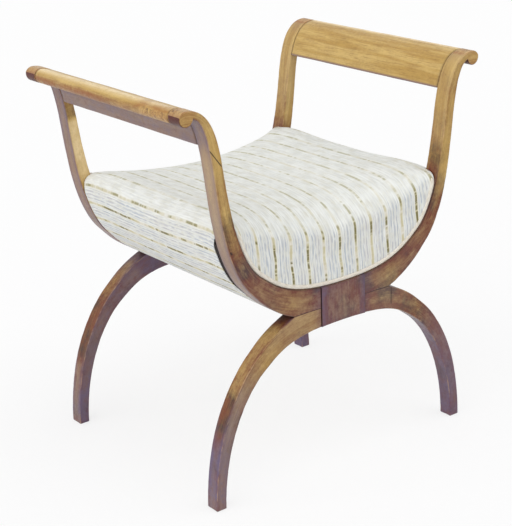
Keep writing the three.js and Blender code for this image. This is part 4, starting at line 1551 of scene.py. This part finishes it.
makeStuffing()
makeWebbing()
makeDustCloth()
makeWelt("front", -1)
makeWelt("back", 1)
print("stuffing, webbing, dust cloth and piping made")


# Floor, light and camera

studio = {
    "floorSize": 40.0,
    "floorColor": (0.93, 0.93, 0.94, 1.0),
    "floorWhite": 0.75,  # how much of the floor is plain white to the camera
    "worldStrength": 0.6,
    "key": {"place": (0.5, -0.75, 1.6), "spread": 50, "strength": 0.7},
    "side": {"place": (-1.5, -0.25, 0.9), "spread": 80, "strength": 1.3},
}
photoCamera = {
    "place": (-1.4534, -1.9092, 1.1761),
    "turn": -0.6482,
    "lift": 0.3486,
    "roll": -0.0350,
    "focalPixels": 1429.55,
    "longSidePixels": 526,
    "sensor": 36.0,
}


def softSun(name, settings):
    lamp = bpy.data.lights.new(name, "SUN")
    lamp.angle = math.radians(settings["spread"])
    lamp.energy = settings["strength"]
    holder = linked(name, lamp)
    holder.location = settings["place"]
    holder.rotation_mode = "QUATERNION"
    holder.rotation_quaternion = (-Vector(settings["place"])).to_track_quat("-Z", "Y")


# White where the camera and gloss look, and the plain shader for everything else
def whiteForCamera(tree, plain, white, output, share=1.0):
    camera, clear, glossy = [
        addNode(tree, "LightPath", {}, f"Is {kind} Ray") for kind in ("Camera", "Transmission", "Glossy")
    ]
    seen = camera.most(clear, glossy) * share
    mixed = addNode(tree, "MixShader", {0: seen, 1: Field(tree, plain.outputs[0]), 2: white})
    plug(output, {"Surface": mixed})


def makeStage():
    half = studio["floorSize"] / 2
    corners = [(-half, -half, 0), (half, -half, 0), (half, half, 0), (-half, half, 0)]
    mesh = bpy.data.meshes.new("floor")
    mesh.from_pydata(corners, [], [(0, 1, 2, 3)])
    floor = linked("floor", mesh)
    material, tree, shader = startMaterial("paleFloor")
    plug(shader, {"Base Color": studio["floorColor"], "Roughness": 0.9, "Specular IOR Level": 0.1})
    white = addNode(tree, "Emission", {})
    whiteForCamera(tree, shader, white, tree.nodes["Material Output"], studio["floorWhite"])
    mesh.materials.append(material)
    world = bpy.data.worlds.new("studio")
    bpy.context.scene.world = world
    world.use_nodes = True
    tree = world.node_tree
    light = tree.nodes["Background"]
    plug(light, {"Color": (1, 1, 1, 1), "Strength": studio["worldStrength"]})
    white = addNode(tree, "Background", {"Color": (1, 1, 1, 1)})
    whiteForCamera(tree, light, white, tree.nodes["World Output"])
    softSun("key", studio["key"])
    softSun("side", studio["side"])


def makeCamera():
    turn, lift, roll = photoCamera["turn"], photoCamera["lift"], photoCamera["roll"]
    back = Vector((math.sin(turn) * math.cos(lift), -math.cos(turn) * math.cos(lift), math.sin(lift)))
    right = (-back).cross(Vector((0, 0, 1))).normalized()
    up = right.cross(-back)
    rightRolled = math.cos(roll) * right + math.sin(roll) * up
    upRolled = -math.sin(roll) * right + math.cos(roll) * up
    camera = bpy.data.cameras.new("photoCamera")
    camera.sensor_fit = "AUTO"
    camera.sensor_width = photoCamera["sensor"]
    camera.lens = photoCamera["focalPixels"] * photoCamera["sensor"] / photoCamera["longSidePixels"]
    camera.clip_start = 0.05
    camera.clip_end = 50
    holder = linked("photoCamera", camera)
    matrix = Matrix((rightRolled, upRolled, back)).transposed().to_4x4()
    matrix.translation = Vector(photoCamera["place"])
    holder.matrix_world = matrix
    bpy.context.scene.camera = holder


makeStage()
makeCamera()
bpy.context.scene.view_settings.view_transform = "Standard"
print("studio made")

dressHidden()
